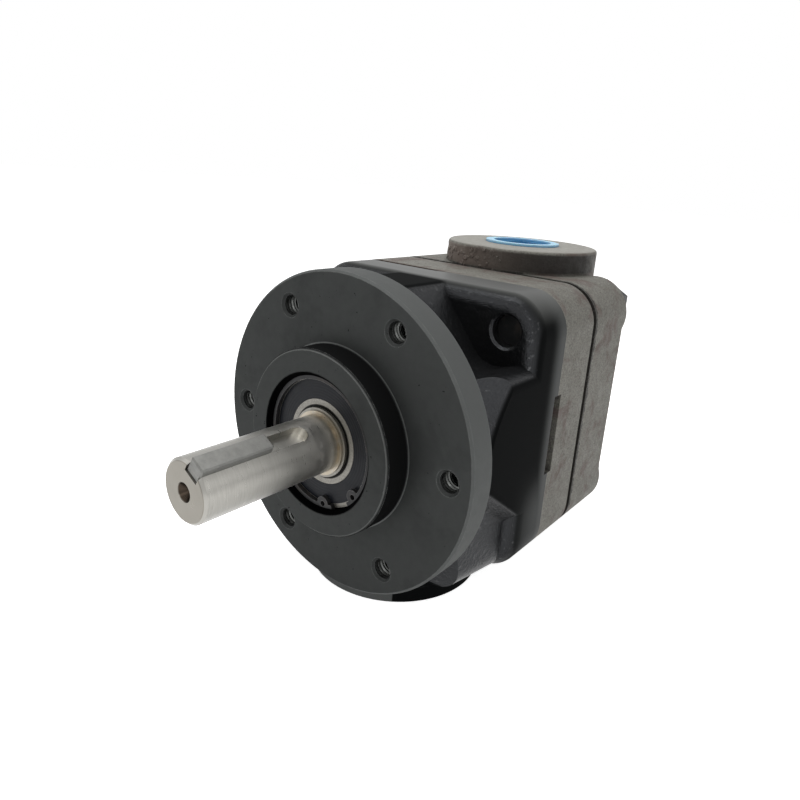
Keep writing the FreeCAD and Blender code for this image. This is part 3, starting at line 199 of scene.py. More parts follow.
class PumpSoftSettings(bpy.types.PropertyGroup):
    rubber: tint("Rubber", "Bearing shields and seal lip", (0.0085, 0.0095, 0.0125))
    dust: tint("Dust", "Dust on the rubber", (0.07, 0.07, 0.07))
    plastic: tint("Plug", "Blue transport plug", (0.050, 0.235, 0.46))
    rim: tint("Plug rim", "Pale upper rim of the plug", (0.36, 0.66, 0.86))
    speck: tint("Plug speck", "Dirt on the plug", (0.03, 0.08, 0.14))


class PumpThreadSettings(bpy.types.PropertyGroup):
    hole_radius: length("Flange hole", "Radius of the tapped flange holes", 0.004)
    hole_circle: length("Hole circle", "Radius of the circle of flange holes", 0.0539)
    hole_pitch: length("Flange hole pitch", "Rise of one thread turn in a flange hole", 0.00125)
    hole_crest: length("Flange hole crest", "Height of the thread in a flange hole", 0.00062)
    hole_start: length("Flange hole start", "Where that thread begins in the hole", 0.0012)
    hole_turns: number("Flange hole turns", "Thread turns in a flange hole", 7.0)
    port_radius: length("Port", "Radius of the inlet port", 0.0156)
    port_pitch: length("Port pitch", "Rise of one thread turn in the port", 0.0016)
    port_crest: length("Port crest", "Height of the thread in the port", 0.0009)
    port_start: length("Port start", "Where that thread begins in the port", 0.0016)
    port_turns: number("Port turns", "Thread turns in the port", 13.0)
    port_middle: length("Port middle", "Middle of the port behind the flange face", 0.042)
    facets: bpy.props.IntProperty(
        name="Facets", description="Straight parts in one thread turn", default=30, min=8,
    )


class PumpCrumbSettings(bpy.types.PropertyGroup):
    crumb_size: length("Crumb", "Largest sand crumb in the cover's joint groove", 0.00062)
    crumb_density: number("Crumb density", "Sand crumbs on a square metre", 260000.0)
    lump_size: length("Lump", "Largest cast lump on the side of the outlet boss", 0.0015)
    lump_density: number("Lump density", "Cast lumps on a square metre", 130000.0)


# Node trees

def linkable(value):
    return isinstance(value, bpy.types.NodeSocket)


def tree_of(*values):
    """The node tree of the first socket among the values."""
    return next(value.id_data for value in values if linkable(value))


def fill(socket, value):
    """Links a socket to another one, or gives it a plain value."""
    if linkable(value):
        tree_of(value).links.new(value, socket)
    else:
        socket.default_value = value


def fill_all(sockets, values):
    for name, value in values.items():
        fill(sockets[name], value)


def add(tree, kind, values=None, **settings):
    """A node of that kind; values are numbers, or sockets to link, by input name or number."""
    made = tree.nodes.new(kind)
    for name, value in settings.items():
        setattr(made, name, value)
    fill_all(made.inputs, values or {})
    return made


def out(tree, kind, values=None, **settings):
    """The first output of a new node."""
    return add(tree, kind, values, **settings).outputs[0]


def calc(operation, first, second=0.0, clamp=False):
    """One value from two, of which one at least is a socket."""
    return out(
        tree_of(first, second), "ShaderNodeMath", {0: first, 1: second}, operation=operation,
        use_clamp=clamp,
    )


def folded(operation, values):
    """One value from several, taken in order."""
    made = values[0]
    for value in values[1:]:
        made = calc(operation, made, value)
    return made


def product(*values):
    return folded("MULTIPLY", values)


def total(*values):
    return folded("ADD", values)


def largest(*values):
    return folded("MAXIMUM", values)


def remainder(share):
    """What a share leaves of 1."""
    return calc("SUBTRACT", 1.0, share)


def ramp(value, low, high, start=0.0, end=1.0):
    """start below low and end above high, smooth between them."""
    return out(
        tree_of(value), "ShaderNodeMapRange",
        {"Value": value, "From Min": low, "From Max": high, "To Min": start, "To Max": end},
        interpolation_type="SMOOTHSTEP",
    )


def fall(value, low, high):
    """1 below low and 0 above high, smooth between them."""
    return ramp(value, low, high, 1.0, 0.0)


def between(mask, without, within):
    """One value where a mask is 0 and another where it is 1."""
    return ramp(mask, 0.0, 1.0, without, within)


def mottled(mottle, low, high):
    """A value that wanders between low and high with a noise."""
    return ramp(mottle, 0.3, 0.7, low, high)


def split(vector):
    return add(tree_of(vector), "ShaderNodeSeparateXYZ", {0: vector}).outputs


def coated(base, *coats):
    """Colours laid on a base in order; a coat is a colour and the masks that it takes."""
    for over, *masks in coats:
        made = add(tree_of(*masks), "ShaderNodeMix", data_type="RGBA", blend_type="MIX")
        share, under, upper = (made.inputs[place] for place in (0, 6, 7))
        fill(share, product(*masks))
        fill(under, base if linkable(base) else (*base, 1.0))
        fill(upper, over if linkable(over) else (*over, 1.0))
        base = made.outputs[2]
    return base


def scaled(value, share):
    return tuple(part * share for part in value)


def noise(place, size, detail=3.0, rough=0.55, warp=0.0):
    """Noise of 0 to 1 whose blotches are about size metres across."""
    scale = calc("DIVIDE", 1.0, size) if linkable(size) else 1.0 / size
    return out(
        tree_of(place), "ShaderNodeTexNoise",
        {"Vector": place, "Scale": scale, "Detail": detail, "Roughness": rough,
         "Distortion": warp},
    )


def new_group(name, sizes, outputs):
    """A shader node group that takes a place and sizes and puts out values."""
    tree = bpy.data.node_groups.new(name, "ShaderNodeTree")
    tree.interface.new_socket("Place", in_out="INPUT", socket_type="NodeSocketVector")
    for label, default in sizes:
        socket = tree.interface.new_socket(label, in_out="INPUT", socket_type="NodeSocketFloat")
        socket.default_value = default
    for label in outputs:
        tree.interface.new_socket(label, in_out="OUTPUT", socket_type="NodeSocketFloat")
    inside = tree.nodes.new("NodeGroupInput")
    outside = tree.nodes.new("NodeGroupOutput")
    return inside.outputs, outside.inputs


def place_group(name, place, **sizes):
    """Outputs of a shader node group that stands in the tree of a place, with its own sizes."""
    group = bpy.data.node_groups[name]
    values = {"Place": place, **sizes}
    return add(tree_of(place), "ShaderNodeGroup", values, node_tree=group).outputs


def build_edge_wear():
    """Mask of rubbed outer edges, broken up by noise, and mask of hollows from ambient occlusion,
    for painted shade.
    """
    inside, outside = new_group(
        "Edge wear", (("Width", 0.0006), ("Gain", 6.0), ("Patch", 0.004)), ("Mask", "Hollow shade"),
    )
    tree, rays = tree_of(inside["Place"]), 6
    rounded = out(tree, "ShaderNodeBevel", {"Radius": inside["Width"]}, samples=rays)
    plain = add(tree, "ShaderNodeNewGeometry").outputs["Normal"]
    agree = add(tree, "ShaderNodeVectorMath", {0: rounded, 1: plain}, operation="DOT_PRODUCT")
    turn = remainder(agree.outputs["Value"])
    strong = calc("MULTIPLY", turn, inside["Gain"], clamp=True)
    open_air = add(
        tree, "ShaderNodeAmbientOcclusion", {"Distance": product(inside["Width"], 5.0)},
        samples=rays,
    ).outputs["AO"]
    convex = ramp(open_air, 0.80, 0.97)
    patches = noise(inside["Place"], inside["Patch"], 4.0, 0.65)
    broken = ramp(patches, 0.36, 0.62, 0.25, 1.0)
    fill_all(outside, {
        # Ambient occlusion, for painted shade in corners.
        "Mask": product(strong, convex, broken), "Hollow shade": remainder(open_air),
    })


def build_sand_skin():
    """Height and pits of a sand-cast skin."""
    inside, outside = new_group("Sand skin", (("Grain", 0.0006),), ("Height", "Pits"))
    grain = add(
        tree_of(inside["Place"]), "ShaderNodeTexVoronoi",
        {"Vector": inside["Place"], "Scale": calc("DIVIDE", 1.0, inside["Grain"]),
         "Randomness": 1.0},
        feature="SMOOTH_F1",
    ).outputs["Distance"]
    coarse = calc("DIVIDE", inside["Grain"], 0.3)
    lumps = noise(inside["Place"], coarse, 5.0, 0.6)
    bumps = product(remainder(grain), 0.45)
    fill_all(outside, {
        "Height": total(bumps, product(lumps, 1.1)),
        "Pits": ramp(lumps, 0.60, 0.72),
    })


def build_turning_marks():
    """Height of the fine rings that a lathe leaves round the shaft axis, and the radius there."""
    inside, outside = new_group(
        "Turning marks", (("Pitch", 0.00022),), ("Faced", "Turned", "Radius"),
    )
    parts = split(inside["Place"])
    squares = total(product(parts["X"], parts["X"]), product(parts["Z"], parts["Z"]))
    radius = calc("SQRT", squares)
    waver = product(noise(inside["Place"], 0.012, 2.0), 0.00008)
    turns = calc("DIVIDE", 2.0 * math.pi, inside["Pitch"])
    for source, label in ((radius, "Faced"), (parts["Y"], "Turned")):
        phase = product(total(source, waver), turns)
        fill(outside[label], calc("SINE", phase))
    fill(outside["Radius"], radius)


def build_stains():
    """Soft blotches, small hard specks and an even mottle."""
    inside, outside = new_group(
        "Stains", (("Blotch", 0.03), ("Speck", 0.0016)), ("Blotches", "Specks", "Mottle"),
    )
    place = inside["Place"]
    blotches = noise(place, inside["Blotch"], 5.0, 0.6, 0.3)
    specks = noise(place, inside["Speck"], 2.0, 0.6, 0.3)
    fill_all(outside, {
        "Blotches": ramp(blotches, 0.50, 0.68),
        "Specks": ramp(specks, 0.70, 0.76),
        "Mottle": noise(place, 0.0035, 6.0, 0.7),
    })


def new_material(name, shader):
    """A material whose own Principled shader takes plain settings, its sockets and its place."""
    made = bpy.data.materials.new(name)
    made.use_nodes = True
    tree = made.node_tree
    tree.nodes.clear()
    result = tree.nodes.new("ShaderNodeOutputMaterial")
    surface = tree.nodes.new("ShaderNodeBsdfPrincipled")
    fill_all(surface.inputs, shader)
    fill(result.inputs["Surface"], surface.outputs[0])
    place = tree.nodes.new("ShaderNodeTexCoord").outputs["Object"]
    return made, surface.inputs, place


def relief(sockets, height, distance, strength):
    sizes = {"Height": height, "Distance": distance, "Strength": strength}
    fill(sockets["Normal"], out(tree_of(height), "ShaderNodeBump", sizes))


def dress(names, material):
    """Gives CAD nodes one material."""
    for name in names:
        mesh = NODES[name].data
        mesh.materials.clear()
        mesh.materials.append(material)


# Stage

class PUMP_OT_stage(bpy.types.Operator):
    """Camera, pale floor, backdrop and soft lamps"""
    bl_idname = "pump.stage"
    bl_label = "Stage"

    def execute(self, context):
        settings = context.scene.pump_stage
        self.place_camera(context, settings)
        self.place_floor(context, settings)
        self.light(context, settings)
        context.scene.view_settings.view_transform = "Standard"
        return {"FINISHED"}

    def place_camera(self, context, settings):
        yaw, pitch, roll = settings.camera_yaw, settings.camera_pitch, settings.camera_roll
        forward = Vector((
            -math.sin(yaw) * math.cos(pitch), math.cos(yaw) * math.cos(pitch), -math.sin(pitch),
        ))
        right = Vector((math.cos(yaw), math.sin(yaw), 0.0))
        up = right.cross(forward)
        turned_right = right * math.cos(roll) + up * math.sin(roll)
        turned_up = up * math.cos(roll) - right * math.sin(roll)
        data = bpy.data.cameras.new("camera")
        data.sensor_width = 36.0
        data.lens = settings.lens
        data.shift_x, data.shift_y = settings.shift
        data.clip_start = 0.01
        data.clip_end = 20.0
        camera = bpy.data.objects.new("camera", data)
        context.scene.collection.objects.link(camera)
        turn = Matrix((turned_right, turned_up, -forward)).transposed().to_4x4()
        camera.matrix_world = Matrix.Translation(settings.camera_place) @ turn
        context.scene.camera = camera

    def place_floor(self, context, settings):
        height = CAD_BOX[0].z - settings.floor_gap
        half = settings.floor_reach
        mesh = bpy.data.meshes.new("floor")
        mesh.from_pydata(
            [(-half, -half, height), (half, -half, height), (half, half, height),
             (-half, half, height)], [], [(0, 1, 2, 3)],
        )
        floor = bpy.data.objects.new("floor", mesh)
        context.scene.collection.objects.link(floor)
        made, sockets, place = new_material("floor", {"Roughness": 0.9})
        paper = noise(place, 0.002, 4.0)
        grey = scaled(settings.backdrop, 0.96)
        shade = coated(grey, (settings.backdrop, ramp(paper, 0.3, 0.7)))
        black = (0.0, 0.0, 0.0)
        fill_all(sockets, {
            "Base Color": shade, "Emission Strength": 1.0, "Emission Color": coated(
                black, (shade, self.seen(tree_of(place)), settings.floor_glow),
            ),
        })
        relief(sockets, paper, 0.00005, 0.3)
        mesh.materials.append(made)

    def seen(self, tree):
        """1 for what the camera sees, directly, in a shine or through glass."""
        rays = add(tree, "ShaderNodeLightPath").outputs
        kinds = ("Is Camera Ray", "Is Glossy Ray", "Is Transmission Ray")
        return largest(*(rays[kind] for kind in kinds))

    def light(self, context, settings):
        world = bpy.data.worlds.new("studio")
        world.use_nodes = True
        tree = world.node_tree
        tree.nodes.clear()
        result = tree.nodes.new("ShaderNodeOutputWorld")
        shade = coated((settings.surround,) * 3, (settings.backdrop, self.seen(tree)))
        back = out(tree, "ShaderNodeBackground", {"Color": shade, "Strength": 1.0})
        fill(result.inputs["Surface"], back)
        context.scene.world = world
        for name, place, side, power in (
            ("lamp_over", (-0.20, 0.05, 0.85), 0.55, 4.2),
            ("lamp_front", (-0.75, -0.80, 0.35), 0.60, 1.7),
            ("lamp_side", (0.95, 0.15, 0.45), 0.60, 1.3),
            ("lamp_near", (0.50, -0.55, 0.55), 0.28, 0.6),
        ):
            data = bpy.data.lights.new(name, "AREA")
            data.shape = "SQUARE"
            data.size = side
            data.energy = power
            lamp = bpy.data.objects.new(name, data)
            context.scene.collection.objects.link(lamp)
            lamp.location = place
            lamp.rotation_mode = "QUATERNION"
            lamp.rotation_quaternion = (PUMP_MIDDLE - Vector(place)).to_track_quat("-Z", "Y")


# Finishes
# In their masks, a small offset is the width in metres over which one finish blends into another.

class PUMP_OT_casting(bpy.types.Operator):
    """Black casting with a turned flange, smooth flanks and sand-rough bolt pockets"""
    bl_idname = "pump.casting"
    bl_label = "Painted casting"

    def execute(self, context):
        settings = context.scene.pump_casting
        # Metallic alone gives the shine here, so that the black stays black beside a white floor.
        made, sockets, place = new_material("black_casting", {"Specular IOR Level": 0.0})
        marks = place_group("Turning marks", place, Pitch=0.0003)
        stains = place_group("Stains", place, Blotch=0.026, Speck=0.0020)
        sand = place_group("Sand skin", place, Grain=settings.grain)
        wear = place_group("Edge wear", place, Width=0.0007, Gain=5.0, Patch=0.003)
        zone = self.zones(settings, place, marks["Radius"])
        metal = self.turned_colour(settings, zone, stains)
        skin = self.cast_colour(settings, zone, sand)
        rubbed = product(
            wear["Mask"], between(zone["turned"], 0.12, 0.8),
            remainder(zone["bore"]),
        )
        paint_rough = between(zone["pocket"], 0.40, 0.26)
        face_rough = mottled(stains["Mottle"], 0.42, 0.56)
        roughs = {0: zone["turned"], 2: paint_rough, 3: face_rough}
        fill_all(sockets, {
            "Base Color": coated(skin, (metal, zone["turned"]), (settings.worn, rubbed)),
            "Metallic": largest(self.shine(zone), product(rubbed, 0.8)),
            "Roughness": out(tree_of(place), "ShaderNodeMix", roughs, data_type="FLOAT"),
        })
        rings = product(marks["Faced"], zone["turned"], 0.010)
        grain = product(sand["Height"], zone["cast"], between(zone["pocket"], 0.05, 1.0))
        relief(sockets, total(rings, grain), 0.00035, 0.8)
        dress(["pump_body"], made)
        return {"FINISHED"}

    def zones(self, settings, place, radius):
        """Masks of the turned flange's surfaces and of the cast ones behind it."""
        pilot, bore, plate = settings.pilot_radius, settings.bore_radius, settings.plate_depth
        parts = split(place)
        depth, height = parts["Y"], parts["Z"]
        upward = split(add(tree_of(place), "ShaderNodeNewGeometry").outputs["Normal"])["Z"]
        side = largest(calc("ABSOLUTE", parts["X"]), calc("ABSOLUTE", height))
        turned = fall(depth, settings.turned_depth, settings.turned_depth + 0.0004)
        cast = remainder(turned)
        # Painted reflection of the floor, lighter lower down on the flank near the ring.
        floor_reflection = product(
            ramp(depth, RING_FRONT - settings.reflection_reach, RING_FRONT - 0.004),
            ramp(height, -0.034, -0.006, 0.75, 0.0),
        )
        # Painted sheen in a strip beside the ring.
        ring_side_sheen = ramp(depth, RING_FRONT - settings.sheen_reach, RING_FRONT - 0.001)
        return {
            "turned": turned,
            "cast": cast,
            # Painted sheen on the flange rim.
            "rim": ramp(radius, FLANGE_RADIUS - 0.0011, FLANGE_RADIUS - 0.0006),
            # Painted shade on the side of the pilot boss.
            "pilot": product(
                fall(depth, -0.0006, -0.0002),
                ramp(radius, pilot - 0.0010, pilot - 0.0002),
            ),
            "root": product(
                ramp(radius, pilot, pilot + 0.00015),
                fall(radius, pilot + 0.0005, pilot + 0.0007),
                fall(depth, 0.0006, 0.0010),
            ),
            # Painted highlight on the pilot boss's bevel.
            "bevel": product(
                fall(depth, PILOT_FRONT, PILOT_FRONT + 0.0007),
                ramp(radius, pilot - 0.0009, pilot - 0.0007),
            ),
            # Painted shade on the wall of the bearing bore.
            "bore": product(turned, fall(radius, bore - 0.0004, bore + 0.0004)),
            "pocket": product(
                cast, fall(side, FRAME_SIDE - 0.0016, FRAME_SIDE - 0.0004),
                fall(depth, plate, plate + 0.006),
            ),
            # Painted light: lighter on upward faces behind the plate's front.
            "top": product(ramp(depth, plate, plate + 0.008), ramp(upward, 0.25, 0.95)),
            "joint": largest(ring_side_sheen, floor_reflection),
        }

    def turned_colour(self, settings, zone, stains):
        return coated(
            settings.turned,
            (scaled(settings.turned, 0.70), stains["Mottle"], 0.4),
            (scaled(settings.turned, 0.55), stains["Blotches"], 0.35),
            (settings.speck, stains["Specks"], 0.85),
            # Painted sheen on the flange rim.
            (settings.rim, zone["rim"]),
            # Painted shade on the side of the pilot boss.
            (settings.painted_pilot_shade, zone["pilot"]),
            (settings.worn, zone["root"], 0.7),
            # Painted highlight on the pilot boss's bevel.
            (settings.painted_pilot_highlight, zone["bevel"]),
            # Painted shade on the wall of the bearing bore.
            (settings.bore, zone["bore"]),
        )

    def cast_colour(self, settings, zone, sand):
        return coated(
            settings.paint,
            # Painted sheen beside the ring and painted floor reflection low on the flank.
            (settings.painted_flank_sheen, zone["joint"], 0.8),
            # Painted light on the top of the plate.
            (settings.painted_top_light, zone["top"], 0.7),
            (settings.lacquer, zone["pocket"]),
            # Painted glints on the raised sand grains in the pockets.
            (settings.painted_glint, zone["pocket"], sand["Pits"], 0.4),
        )

    def shine(self, zone):
        """Share of mirror on paint and on the turned face, less on the pilot boss and bore."""
        paint = largest(
            product(zone["pocket"], 0.8), product(zone["top"], 0.9),
            product(zone["joint"], 0.45), 0.07,
        )
        dull = largest(zone["pilot"], zone["bore"])
        return total(
            product(paint, zone["cast"]),
            product(zone["turned"], between(dull, 0.26, 0.06)),
        )


class PUMP_OT_iron(bpy.types.Operator):
    """Bare grey iron with a rust bloom on ring and cover"""
    bl_idname = "pump.iron"
    bl_label = "Bare iron"

    def execute(self, context):
        settings = context.scene.pump_iron
        made, sockets, place = new_material("bare_iron", {"Specular IOR Level": 0.25})
        stains = place_group("Stains", place, Blotch=0.014, Speck=0.0011)
        sand = place_group("Sand skin", place, Grain=0.0008)
        wear = place_group("Edge wear", place, Width=0.0006, Gain=5.0, Patch=0.002)
        grain = noise(place, settings.grain, 5.0, 0.75)
        zone = self.zones(settings, place)
        fill_all(sockets, {
            "Base Color": self.iron_colour(settings, zone, stains, wear, grain),
            "Roughness": mottled(stains["Mottle"], 0.52, 0.74),
            "Metallic": product(
                between(stains["Blotches"], 0.28, 0.06),
                remainder(zone["boss_side"]), remainder(zone["groove"]),
            ),
        })
        coarse = product(sand["Height"], between(zone["boss_side"], 0.14, 0.55))
        relief(sockets, total(product(grain, 0.45), coarse), 0.0004, 0.7)
        dress(["cam_ring", "rear_cover"], made)
        return {"FINISHED"}

    def zones(self, settings, place):
        """Masks of the outlet boss, of the cover's joint and of the seam at the body."""
        groove_end = RING_BACK + settings.groove_width
        fringe_end = RING_BACK + settings.fringe_width
        parts = split(place)
        across, depth, height = parts["X"], parts["Y"], parts["Z"]
        frayed = total(depth, product(noise(place, 0.0022, 4.0), 0.0050))
        in_joint = product(
            ramp(depth, RING_BACK - 0.0002, RING_BACK + 0.0001),
            fall(height, FRAME_SIDE + 0.0004, FRAME_SIDE + 0.0010),
        )
        return {
            "boss_side": product(
                ramp(height, FRAME_SIDE, FRAME_SIDE + 0.0015),
                ramp(depth, settings.boss_near, settings.boss_far, 1.0, 0.15),
                fall(height, BOSS_TOP - 0.0020, BOSS_TOP - 0.0006),
            ),
            "boss_top": ramp(height, BOSS_TOP - 0.0006, BOSS_TOP - 0.0001),
            # Painted light and shade: the boss's skin is lighter to the left, darker to the right.
            "left": fall(across, -0.024, 0.034),
            "groove": product(in_joint, fall(depth, groove_end, groove_end + 0.0006)),
            "fringe": product(in_joint, fall(frayed, fringe_end, fringe_end + 0.0007)),
            "seam": product(
                fall(depth, RING_FRONT + 0.0008, RING_FRONT + 0.0024),
                ramp(height, FRAME_SIDE - 0.006, FRAME_SIDE - 0.001),
                fall(across, -0.012, 0.004),
            ),
        }

    def iron_colour(self, settings, zone, stains, wear, grain):
        # Painted shade: the skin darkens to a twentieth of its colour towards the right of the
        # boss.
        skin = coated(scaled(settings.skin, 0.05), (settings.skin, zone["left"]))
        faced = coated(settings.faced, (scaled(settings.faced, 0.6), stains["Mottle"], 0.5))
        sooty = largest(product(zone["groove"], 0.88), product(zone["fringe"], 0.8))
        return coated(
            scaled(settings.bare, 1.12),
            (scaled(settings.bare, 0.34), ramp(grain, 0.38, 0.66, 0.0, 0.75)),
            (settings.rust, stains["Blotches"], 0.7),
            (skin, zone["boss_side"], 0.92),
            (settings.seam, zone["seam"], 0.85),
            (faced, zone["boss_top"]),
            (settings.soot, sooty),
            # Painted shade in corners and crevices.
            (settings.hollow_shade, wear["Hollow shade"], 0.8),
            (settings.pit, stains["Specks"], 0.65),
            (scaled(settings.bare, 1.7), wear["Mask"], 0.45),
        )


class PUMP_OT_steel(bpy.types.Operator):
    """Ground shaft, matt key, bearing steel, bronze, and blackened bolts and rings"""
    bl_idname = "pump.steel"
    bl_label = "Steel"

    def execute(self, context):
        settings = context.scene.pump_steel
        bearing = settings.bearing
        dress(["drive_shaft"], self.ground(settings))
        dress(["bearing_inner_ring"], self.inner_ring(settings))
        dress(["shaft_key"], self.plain("key_steel", settings.key, 0.46, 0.004))
        dress(
            ["bearing_outer_ring", "needle_cup", "needle_cage", "dowel_pins",
             "rotor", "seal_case", "seal_spring", "shaft_snap_ring"],
            self.plain("bearing_steel", bearing, 0.40, 0.006, 0.00025),
        )
        dress(
            ["bearing_balls", "needle_rollers"],
            self.plain("polished_steel", scaled(bearing, 2.2), 0.12, 0.006, 0.00025),
        )
        dress(
            [name for name in NODES if name.startswith("vane_")],
            self.plain("vane_steel", scaled(bearing, 1.7), 0.22, 0.004, 0.0006),
        )
        dress(
            ["pressure_plate", "bearing_cage"],
            self.plain("bronze", settings.bronze, 0.30, 0.005, 0.00040),
        )
        dress(["cover_bolts", "bore_snap_ring", "plate_spring"], self.blackened(settings))
        self.plain("thread_edge", settings.thread, 0.30, 0.004)
        return {"FINISHED"}

    def ground(self, settings):
        """Shaft steel with long streaks, spots and a straw tint towards its shoulder."""
        steel, shoulder_start = settings.ground, settings.shoulder
        made, sockets, place = new_material("ground_steel", {"Metallic": 1.0})
        marks = place_group("Turning marks", place, Pitch=0.00035)
        stains = place_group("Stains", place, Blotch=0.007, Speck=0.0016)
        wear = place_group("Edge wear", place, Width=0.0004, Gain=6.0, Patch=0.002)
        depth = split(place)["Y"]
        squeeze = {"Vector": place, "Scale": (1.0, 14.0, 1.0)}
        squeezed = out(tree_of(place), "ShaderNodeMapping", squeeze)
        streaks = noise(squeezed, 0.006, 4.0, 0.6)
        near = ramp(depth, settings.stained, PILOT_FRONT)
        flat = fall(depth, shoulder_start - 0.0020, shoulder_start)
        spots = product(largest(product(stains["Blotches"], 0.5), stains["Specks"]), near)
        shoulder = product(
            ramp(depth, shoulder_start, shoulder_start + 0.0013),
            ramp(stains["Mottle"], 0.2, 0.6, 0.3, 0.8),
        )
        drill = settings.drill_radius
        hole = product(
            fall(marks["Radius"], drill, drill + 0.0003),
            ramp(depth, SHAFT_TIP, SHAFT_TIP + 0.0003),
        )
        rough = total(ramp(streaks, 0.2, 0.8, 0.26, 0.38), product(spots, 0.2))
        fill_all(sockets, {
            "Base Color": coated(
                steel,
                (scaled(steel, 0.78), mottled(streaks, 0.0, 0.4)),
                (scaled(steel, 2.6), near, flat),
                (settings.spot, spots, 0.6),
                (settings.straw, shoulder, 0.6),
                # Painted shade on the end face of the shaft.
                (settings.painted_end_shade, fall(depth, SHAFT_TIP + 0.0001, SHAFT_TIP + 0.0003)),
                (settings.centre_drill, hole),
            ),
            "Roughness": calc("SUBTRACT", rough, product(wear["Mask"], 0.1)),
        })
        lines = total(marks["Turned"], product(streaks, 2.0))
        relief(sockets, lines, 0.000006, 0.8)
        return made

    def plain(self, name, metal, roughness, blotch, pitch=None):
        """Mottled and specked metal, with the lathe's fine rings if their pitch is given."""
        made, sockets, place = new_material(name, {"Metallic": 1.0})
        stains = place_group("Stains", place, Blotch=blotch, Speck=0.0009)
        mottle = stains["Mottle"]
        fill_all(sockets, {
            "Base Color": coated(
                metal, (scaled(metal, 0.66), mottled(mottle, 0.0, 0.4)),
                (scaled(metal, 0.25), stains["Specks"], 0.5),
            ),
            "Roughness": mottled(mottle, roughness, roughness + 0.12),
        })
        height = mottle
        if pitch:
            marks = place_group("Turning marks", place, Pitch=pitch)
            height = total(marks["Faced"], mottle)
        relief(sockets, height, 0.000006, 0.8)
        return made

    def inner_ring(self, settings):
        """Fine-grained ring with a painted shadow in the gap beside the shaft's snap ring."""
        steel = settings.bearing
        made, sockets, place = new_material("inner_ring_steel", {"Metallic": 1.0})
        marks = place_group("Turning marks", place, Pitch=0.0003)
        stains = place_group("Stains", place, Blotch=0.005, Speck=0.0009)
        grain = noise(place, 0.0004, 4.0, 0.7)
        # Where the shadow in the gap beside the snap ring is painted.
        gap = fall(marks["Radius"], SNAP_RING_RADIUS + 0.0008, SNAP_RING_RADIUS + 0.0012)
        fill_all(sockets, {
            "Base Color": coated(
                steel, (scaled(steel, 0.6), ramp(grain, 0.35, 0.65, 0.0, 0.6)),
                # Painted shadow in the gap beside the snap ring.
                (scaled(steel, 0.25), stains["Specks"], 0.6), (settings.painted_gap_shadow, gap),
            ),
            "Roughness": mottled(grain, 0.42, 0.56),
        })
        relief(sockets, total(marks["Faced"], grain), 0.000012, 0.8)
        return made

    def blackened(self, settings):
        """Dull black steel with a rust bloom and rubbed edges."""
        made, sockets, place = new_material(
            "blackened_steel", {"Metallic": 0.35, "Specular IOR Level": 0.2},
        )
        stains = place_group("Stains", place, Blotch=0.007, Speck=0.0009)
        wear = place_group("Edge wear", place, Width=0.0004, Gain=6.0, Patch=0.0015)
        fill_all(sockets, {
            "Base Color": coated(
                settings.blackened, (settings.bloom, stains["Blotches"], 0.4),
                (settings.rubbed, wear["Mask"], 0.7),
            ),
            "Roughness": mottled(stains["Mottle"], 0.34, 0.52),
        })
        relief(sockets, stains["Mottle"], 0.00003, 0.6)
        return made


class PUMP_OT_soft(bpy.types.Operator):
    """Rubber shields, seals and the blue transport plug"""
    bl_idname = "pump.soft"
    bl_label = "Rubber and plastic"

    def execute(self, context):
        settings = context.scene.pump_soft
        dress(
            ["bearing_front_shield", "bearing_rear_shield", "seal_lip", "body_seal_ring",
             "cover_seal_ring", "plate_seal_ring"],
            self.rubber(settings),
        )
        dress(["port_plug"], self.plastic(settings))
        return {"FINISHED"}

    def rubber(self, settings):
        """Black rubber with moulded rings and a little dust."""
        made, sockets, place = new_material("black_rubber", {"Specular IOR Level": 0.12})
        marks = place_group("Turning marks", place, Pitch=0.0011)
        stains = place_group("Stains", place, Blotch=0.006, Speck=0.0008)
        fill_all(sockets, {
            "Base Color": coated(
                settings.rubber, (scaled(settings.rubber, 1.6), stains["Mottle"], 0.5),
                (settings.dust, stains["Specks"], 0.3),
            ),
            "Roughness": mottled(stains["Mottle"], 0.30, 0.44),
        })
        height = total(marks["Faced"], product(stains["Mottle"], 1.5))
        relief(sockets, height, 0.00003, 0.5)
        return made

    def plastic(self, settings):
        """Blue plastic with a pale, scuffed rim."""
        made, sockets, place = new_material(
            "blue_plug",
            {"Specular IOR Level": 0.5, "Subsurface Weight": 0.12, "Subsurface Scale": 0.002},
        )
        stains = place_group("Stains", place, Blotch=0.010, Speck=0.0010)
        wear = place_group("Edge wear", place, Width=0.0006, Gain=4.0, Patch=0.004)
        upper = ramp(split(place)["Z"], PLUG_TOP - 0.0012, PLUG_TOP - 0.0002)
        fill_all(sockets, {
            "Base Color": coated(
                settings.plastic, (scaled(settings.plastic, 0.75), stains["Mottle"], 0.35),
                (settings.rim, upper), (scaled(settings.rim, 1.2), wear["Mask"], 0.6),
                (settings.speck, stains["Specks"], 0.3),
            ),
            "Roughness": mottled(stains["Mottle"], 0.34, 0.48),
        })
        relief(sockets, stains["Mottle"], 0.00006, 0.4)
        return made


# Threads, crumbs and lumps

def geometry_tree(name, inputs):
    """An empty geometry tree with named inputs; returns tree, its inputs and its result."""
    tree = bpy.data.node_groups.new(name, "GeometryNodeTree")
    for label, kind, default in inputs:
        socket = tree.interface.new_socket(label, in_out="INPUT", socket_type="NodeSocket" + kind)
        if default is not None:
            socket.default_value = default
    tree.interface.new_socket("Geometry", in_out="OUTPUT", socket_type="NodeSocketGeometry")
    inside = tree.nodes.new("NodeGroupInput").outputs
    result = tree.nodes.new("NodeGroupOutput").inputs
    return tree, inside, result


def close_tree(tree, geometry, finish, result):
    """Ends a geometry tree in real geometry of one material."""
    real = out(tree, "GeometryNodeRealizeInstances", {"Geometry": geometry})
    dressed = out(tree, "GeometryNodeSetMaterial", {"Geometry": real, "Material": finish})
    fill(result["Geometry"], dressed)


